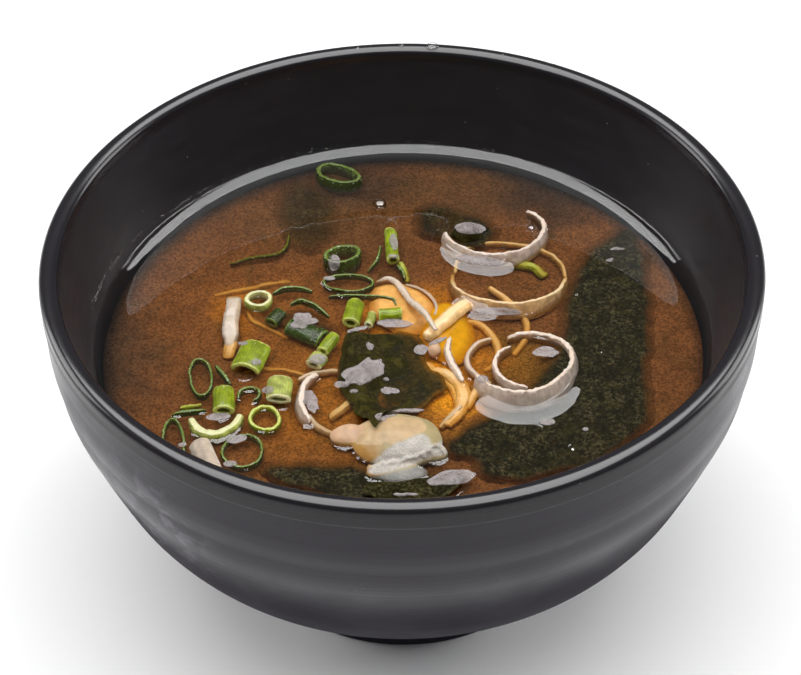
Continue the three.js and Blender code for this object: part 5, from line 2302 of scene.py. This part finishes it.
@dataclass
class Films:
    """Every film of soup that lies on the toppings, each painted with sheen."""

    films: tuple[Film, ...] = (
        Film((-6.6, -8.6), (4.3, 2.5), 34, 0.36),
        Film((-10.4, -11.9), (1.2, 0.8), 0, 0.3),
        Film((-5.5, -2.2), (0.8, 1.0), 0, 0.5),
        Film((-2.2, -13.4), (1.5, 0.9), -10, 0.5),
        Film((-2.9, -10.6), (0.5, 0.5)),
        Film((0.8, -18.3), (2.6, 0.5), 2, 0.2),
        Film((-2.2, -19.1), (1.5, 0.75), 20, 0.15),
        Film((-3.6, -19.8), (1.1, 0.9), 40, 0.35),
        Film((-8.3, -13.5), (0.8, 0.6)),
        Film((-7.8, 2.0), (1.7, 0.6), 20, 0.5),
        Film((-1.4, 3.4), (3.2, 1.1), -4, 0.15),
        Film((3.1, -3.4), (1.2, 1.3), 0, 0.15),
        Film((5.9, -1.2), (1.9, 0.5), 35, 0.2),
        Film((-14.6, -5.4), (1.4, 1.3), 0, 0.2),
        Film((-16.8, 4.4), (2.4, 1.9), 15, 0.5),
        Film((-12.0, 19.9), (1.0, 2.2), 10, 0.25),
        Film((-1.4, 25.6), (0.7, 2.4), 4, 0.15),
        Film((-1.6, 21.4), (1.0, 0.6), 0, 0.15),
        Film((-12.8, 15.6), (1.0, 0.7)),
        Film((12.4, 29.0), (2.8, 1.7), -8, 0.1),
        Film((14.2, 19.9), (4.6, 1.2), -12, 0.12),
        Film((16.6, 6.2), (4.2, 1.0), -4, 0.1),
        Film((24.2, -4.3), (2.2, 1.4), 0, 0.2),
        Film((13.4, -10.8), (1.0, 0.9), 0, 0.2),
        Film((-27.4, -24.6), (1.7, 0.9), 20, 0.12),
        Film((-30.6, -19.2), (2.1, 0.9), 6, 0.12),
        Film((-28.2, -30.2), (1.1, 0.7), 0, 0.1),
        Film((-36.2, -25.6), (0.7, 0.6)),
        Film((-24.9, -6), (0.9, 0.8), 0, 0.08),
        Film((-22.6, -12.9), (1.0, 0.9), 20, 0.12),
        Film((-27.6, -1.2), (1.0, 0.5), 15, 0.4),
        Film((-15.4, -15.6), (1.1, 2.8), 12, 0.3),
        Film((7.2, -34.2), (3.7, 1.5), 14, 0.3),
        Film((23.7, -21.5), (1.2, 0.7), 10, 0.3),
        Film((29.8, -23.3), (0.5, 0.4)),
        Film((0, -37.8), (1.6, 0.4), 0, 0.5),
        Film((38.4, 22.6), (1.3, 0.45), 12, 0.4),
        Film((37.2, 19.6), (0.8, 0.4), 20, 0.4),
    )

    def build(self, eye: Points) -> None:
        """Makes all films as one piece, laid over every piece made so far.

        Args:
            eye: Where the diner's eye is, in millimetres.
        """
        points, faces, start = [], [], 0
        for piece in bpy.context.scene.objects:
            mesh = piece.data
            if piece.type != "MESH" or piece.name == "floor" or piece.hide_render:
                continue
            if len(mesh.loops) != 3 * len(mesh.polygons):
                continue
            place = np.empty(len(mesh.vertices) * 3)
            mesh.vertices.foreach_get("co", place)
            corners_of = np.empty(len(mesh.loops), np.int32)
            mesh.loops.foreach_get("vertex_index", corners_of)
            points.append(place.reshape(-1, 3) / MM)
            faces.append(corners_of.reshape(-1, 3) + start)
            start += len(mesh.vertices)
        skin = (np.vstack(points).tolist(), np.vstack(faces).tolist())
        ground = BVHTree.FromPolygons(*skin, all_triangles=True)
        made = [film.build(ground, eye, 700 + 5 * i) for i, film in enumerate(self.films)]
        # All films as one piece, painted with sheen where the toppings mirror the light.
        settle(made[0].joined(*made[1:]).make("soup_films_painted_sheen", SheenFilm().material()), "broth")


@dataclass
class Drops:
    """Clear beads of soup on the lip and the wall, and bubbles on the level.

    Attributes:
        bubbles: x, y and radius of each bubble.
        lip: The way that each bead on the lip lies, in degrees, and its half width.
        trail: The line of dried beads over the soup: its ways in degrees and its heights.
        count: How many of those there are.
        spread: How far they stray from that line.
        least: Half width of the smallest.
        more: By how much the others are wider on average.
        seed: Which throw of them it is.
    """

    bubbles: Rows = (
        (-3.9, 36.4, 1.2), (23.5, 28.9, 0.7), (25.2, 26.6, 0.8), (26.3, 28.6, 0.5), (24.1, 24.8, 0.45),
        (-20.2, 13.4, 0.3), (-16.0, 12.2, 0.3), (30.5, 10.4, 0.25), (33.8, -4.6, 0.25),
        (27.4, -27.8, 0.3),
    )
    lip: Outline = ((84.0, 1.2), (89.6, 0.6), (97.5, 0.4), (71.0, 0.35))
    trail: Outline = (
        (52.0, 48.6), (97.0, 48.8), (113.0, 48.7), (129.0, 48.9), (143.0, 49.0), (149.0, 49.4),
        (157.0, 50.0), (163.0, 50.5), (176.0, 50.8),
    )
    count: int = 150
    spread: float = 0.16
    least: float = 0.14
    more: float = 0.07
    seed: int = 11

    def build(self, wall: Sequence[tuple[float, float]], lip: tuple[float, float]) -> None:
        """Makes all of them as one piece.

        Args:
            wall: Radius and height of the bowl's inside wall, from the top down.
            lip: Radius and height of the top of the lip.
        """
        dice = np.random.default_rng(self.seed)
        made = [ball((x, y, SOUP_Z + 0.1), (r, r, 0.55 * r), 20, 12) for x, y, r in self.bubbles]
        for way, half in self.lip:
            turn = math.radians(way)
            at = (lip[0] * math.cos(turn), lip[0] * math.sin(turn), lip[1] - 0.1)
            made.append(ball(at, (half, half * 0.9, half * 0.45), 20, 12))
        heights = np.array([z for _, z in wall])[::-1]
        radii = np.array([r for r, _ in wall])[::-1]
        ways, levels = np.array(self.trail).T
        for _ in range(self.count):
            way = ways[-1] - (ways[-1] - ways[0]) * dice.beta(1.0, 1.8)
            turn = math.radians(way)
            z = float(np.interp(way, ways, levels)) + dice.normal(0.0, self.spread)
            half = self.least + dice.exponential(self.more)
            r = float(np.interp(z, heights, radii)) - 0.1
            at = (r * math.cos(turn), r * math.sin(turn), z)
            made.append(ball(at, (half, half, half * dice.uniform(0.6, 1.4)), 10, 6))
        settle(made[0].joined(*made[1:]).make("soup_beads", ClearSoup().material()), "broth")


# ---- the studio -------------------------------------------------------------------------------


@dataclass
class Studio:
    """Plain floor, one broad soft light overhead and the camera at the diner's side.

    Attributes:
        eye: Where the camera stands, in millimetres.
        right: The way to its right.
        up: The way up in its view.
        ahead: The way that it looks.
        lens: Its focal length, in millimetres.
        sky: Colour of the room.
        light_at: Where the lamp that lights hangs, in metres.
        cloth_at: Where the bright cloth hangs, in metres.
        light_wide: Width of both, in metres.
        light_deep: Their other size, in metres.
        light_power: Power of the lamp, in watts.
        card_power: Power of the cloth, in watts.
        side_far: Distance of the side lamps, in metres.
        side_back: How far behind the bowl they stand, in metres.
        side_up: How high they stand, in degrees.
        side_power: Power of each, in watts.
        side_size: Their sizes, in metres.
    """

    eye: tuple[float, float, float] = (0.0, -291.27, 309.45)
    right: tuple[float, float, float] = (0.99992442, -0.00750035, -0.00974181)
    up: tuple[float, float, float] = (0.01225718, 0.66994725, 0.74230751)
    ahead: tuple[float, float, float] = (-0.00095893, 0.74237081, -0.66998855)
    lens: float = 102.74
    sky: tuple[float, float, float, float] = (0.2, 0.2, 0.205, 1.0)
    light_at: tuple[float, float, float] = (0.0, 0.02, 0.93)
    cloth_at: tuple[float, float, float] = (0.0, 0.1, 0.92)
    light_wide: float = 1.3
    light_deep: float = 1.1
    light_power: float = 12.4
    card_power: float = 56.0
    side_far: float = 1.1
    side_back: float = 0.35
    side_up: float = 21.0
    side_power: float = 9.0
    side_size: tuple[float, float] = (0.5, 0.7)

    def build(self) -> None:
        """Makes the floor, the lights, the world and the camera."""
        self.floor()
        self.light()
        self.world()
        self.camera()
        view = bpy.context.scene.view_settings
        view.view_transform = "Standard"
        view.look = "None"

    def floor(self) -> None:
        """Lays a broad board with a softly rolled edge under the bowl."""
        reach = 1600.0
        rows = [(0.0, -6.0), (reach - 4, -6.0), (reach, -4.0), (reach, -1.0), (reach - 4, 0.0)]
        rows += [(r, 0.0) for r in (1200.0, 800.0, 400.0, 200.0, 100.0)] + [(0.0, 0.0)]
        board = lathe(np.array(rows), 96).make("floor", StudioFloor().material())
        board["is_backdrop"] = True

    def lamp(self, name: str, at: Sequence[float], wide: float, deep: float, power: float) -> Any:
        """Hangs a softbox that faces the bowl.

        Args:
            name: Its name.
            at: Its middle, in metres.
            wide: Its width, in metres.
            deep: Its other size, in metres.
            power: Its power, in watts.

        Returns:
            The lamp.
        """
        data = bpy.data.lights.new(name, "AREA")
        data.shape = "RECTANGLE"
        data.size, data.size_y = wide, deep
        data.energy = power
        made = bpy.data.objects.new(name, data)
        made.location = at
        made.rotation_mode = "QUATERNION"
        made.rotation_quaternion = Vector(at).to_track_quat("Z", "Y")
        bpy.context.scene.collection.objects.link(made)
        return made

    def light(self) -> None:
        """Hangs the broad softbox overhead and a tall one at each side."""
        # One lamp only lights, and the other is only the bright cloth that wet surfaces mirror.
        lit = self.lamp("softbox", self.light_at, self.light_wide, self.light_deep, self.light_power)
        lit.visible_glossy = False
        cloth = self.lamp("cloth", self.cloth_at, self.light_wide, self.light_deep, self.card_power)
        cloth.visible_diffuse = False
        rise = math.radians(self.side_up)
        for name, way in (("side_left", -1.0), ("side_right", 1.0)):
            at = (way * self.side_far * math.cos(rise), self.side_back, self.side_far * math.sin(rise))
            self.lamp(name, at, *self.side_size, self.side_power)

    def world(self) -> None:
        """Fills the room with a dim even light."""
        room = bpy.data.worlds.new("room")
        room.use_nodes = True
        room.node_tree.nodes["Background"].inputs["Color"].default_value = self.sky
        bpy.context.scene.world = room

    def camera(self) -> None:
        """Sets the camera that looks down at the bowl over its front lip."""
        data = bpy.data.cameras.new("diner")
        data.lens = self.lens
        data.sensor_width = 36.0
        data.clip_start, data.clip_end = 0.01, 20.0
        eye = bpy.data.objects.new("diner", data)
        turn = Matrix((self.right, self.up, tuple(-a for a in self.ahead))).transposed()
        eye.matrix_world = Matrix.Translation(Vector(self.eye) * MM) @ turn.to_4x4()
        bpy.context.scene.collection.objects.link(eye)
        bpy.context.scene.camera = eye


def corners() -> list[list[float]]:
    """Returns the shown object's lowest and highest corner as plain numbers."""
    return [list(corner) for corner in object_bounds()]


def main() -> None:
    """Builds the bowl, the soup and its toppings, and the studio round them."""
    logging.basicConfig(level=logging.INFO, format="%(name)s %(message)s")
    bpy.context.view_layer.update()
    studio = Studio()
    studio.build()
    looks = {look: flesh.material() for look, flesh in FLESH.items()}
    onion = OnionFlesh().material()
    blades = {blade: finish.material() for blade, finish in WAKAME.items()}
    bowl = Bowl()
    bowl.build()
    footprints = leek_pieces().build(looks)
    footprints += scallion_pieces().build(looks)
    footprints += OnionChunk().build(onion)
    footprints += Seaweed().build(blades[Blade.WET], blades[Blade.SUNK])
    sunk_looks = {look: flesh.sunk().material() for look, flesh in FLESH.items()}
    SunkToppings().build(sunk_looks, blades)
    Liquid().build(footprints)
    Films().build(np.array(studio.eye))
    Drops().build(bowl.wall, (bowl.radius - bowl.lip_thick / 2, bowl.rim_z + bowl.lip_round))


if __name__ == "__main__":
    main()
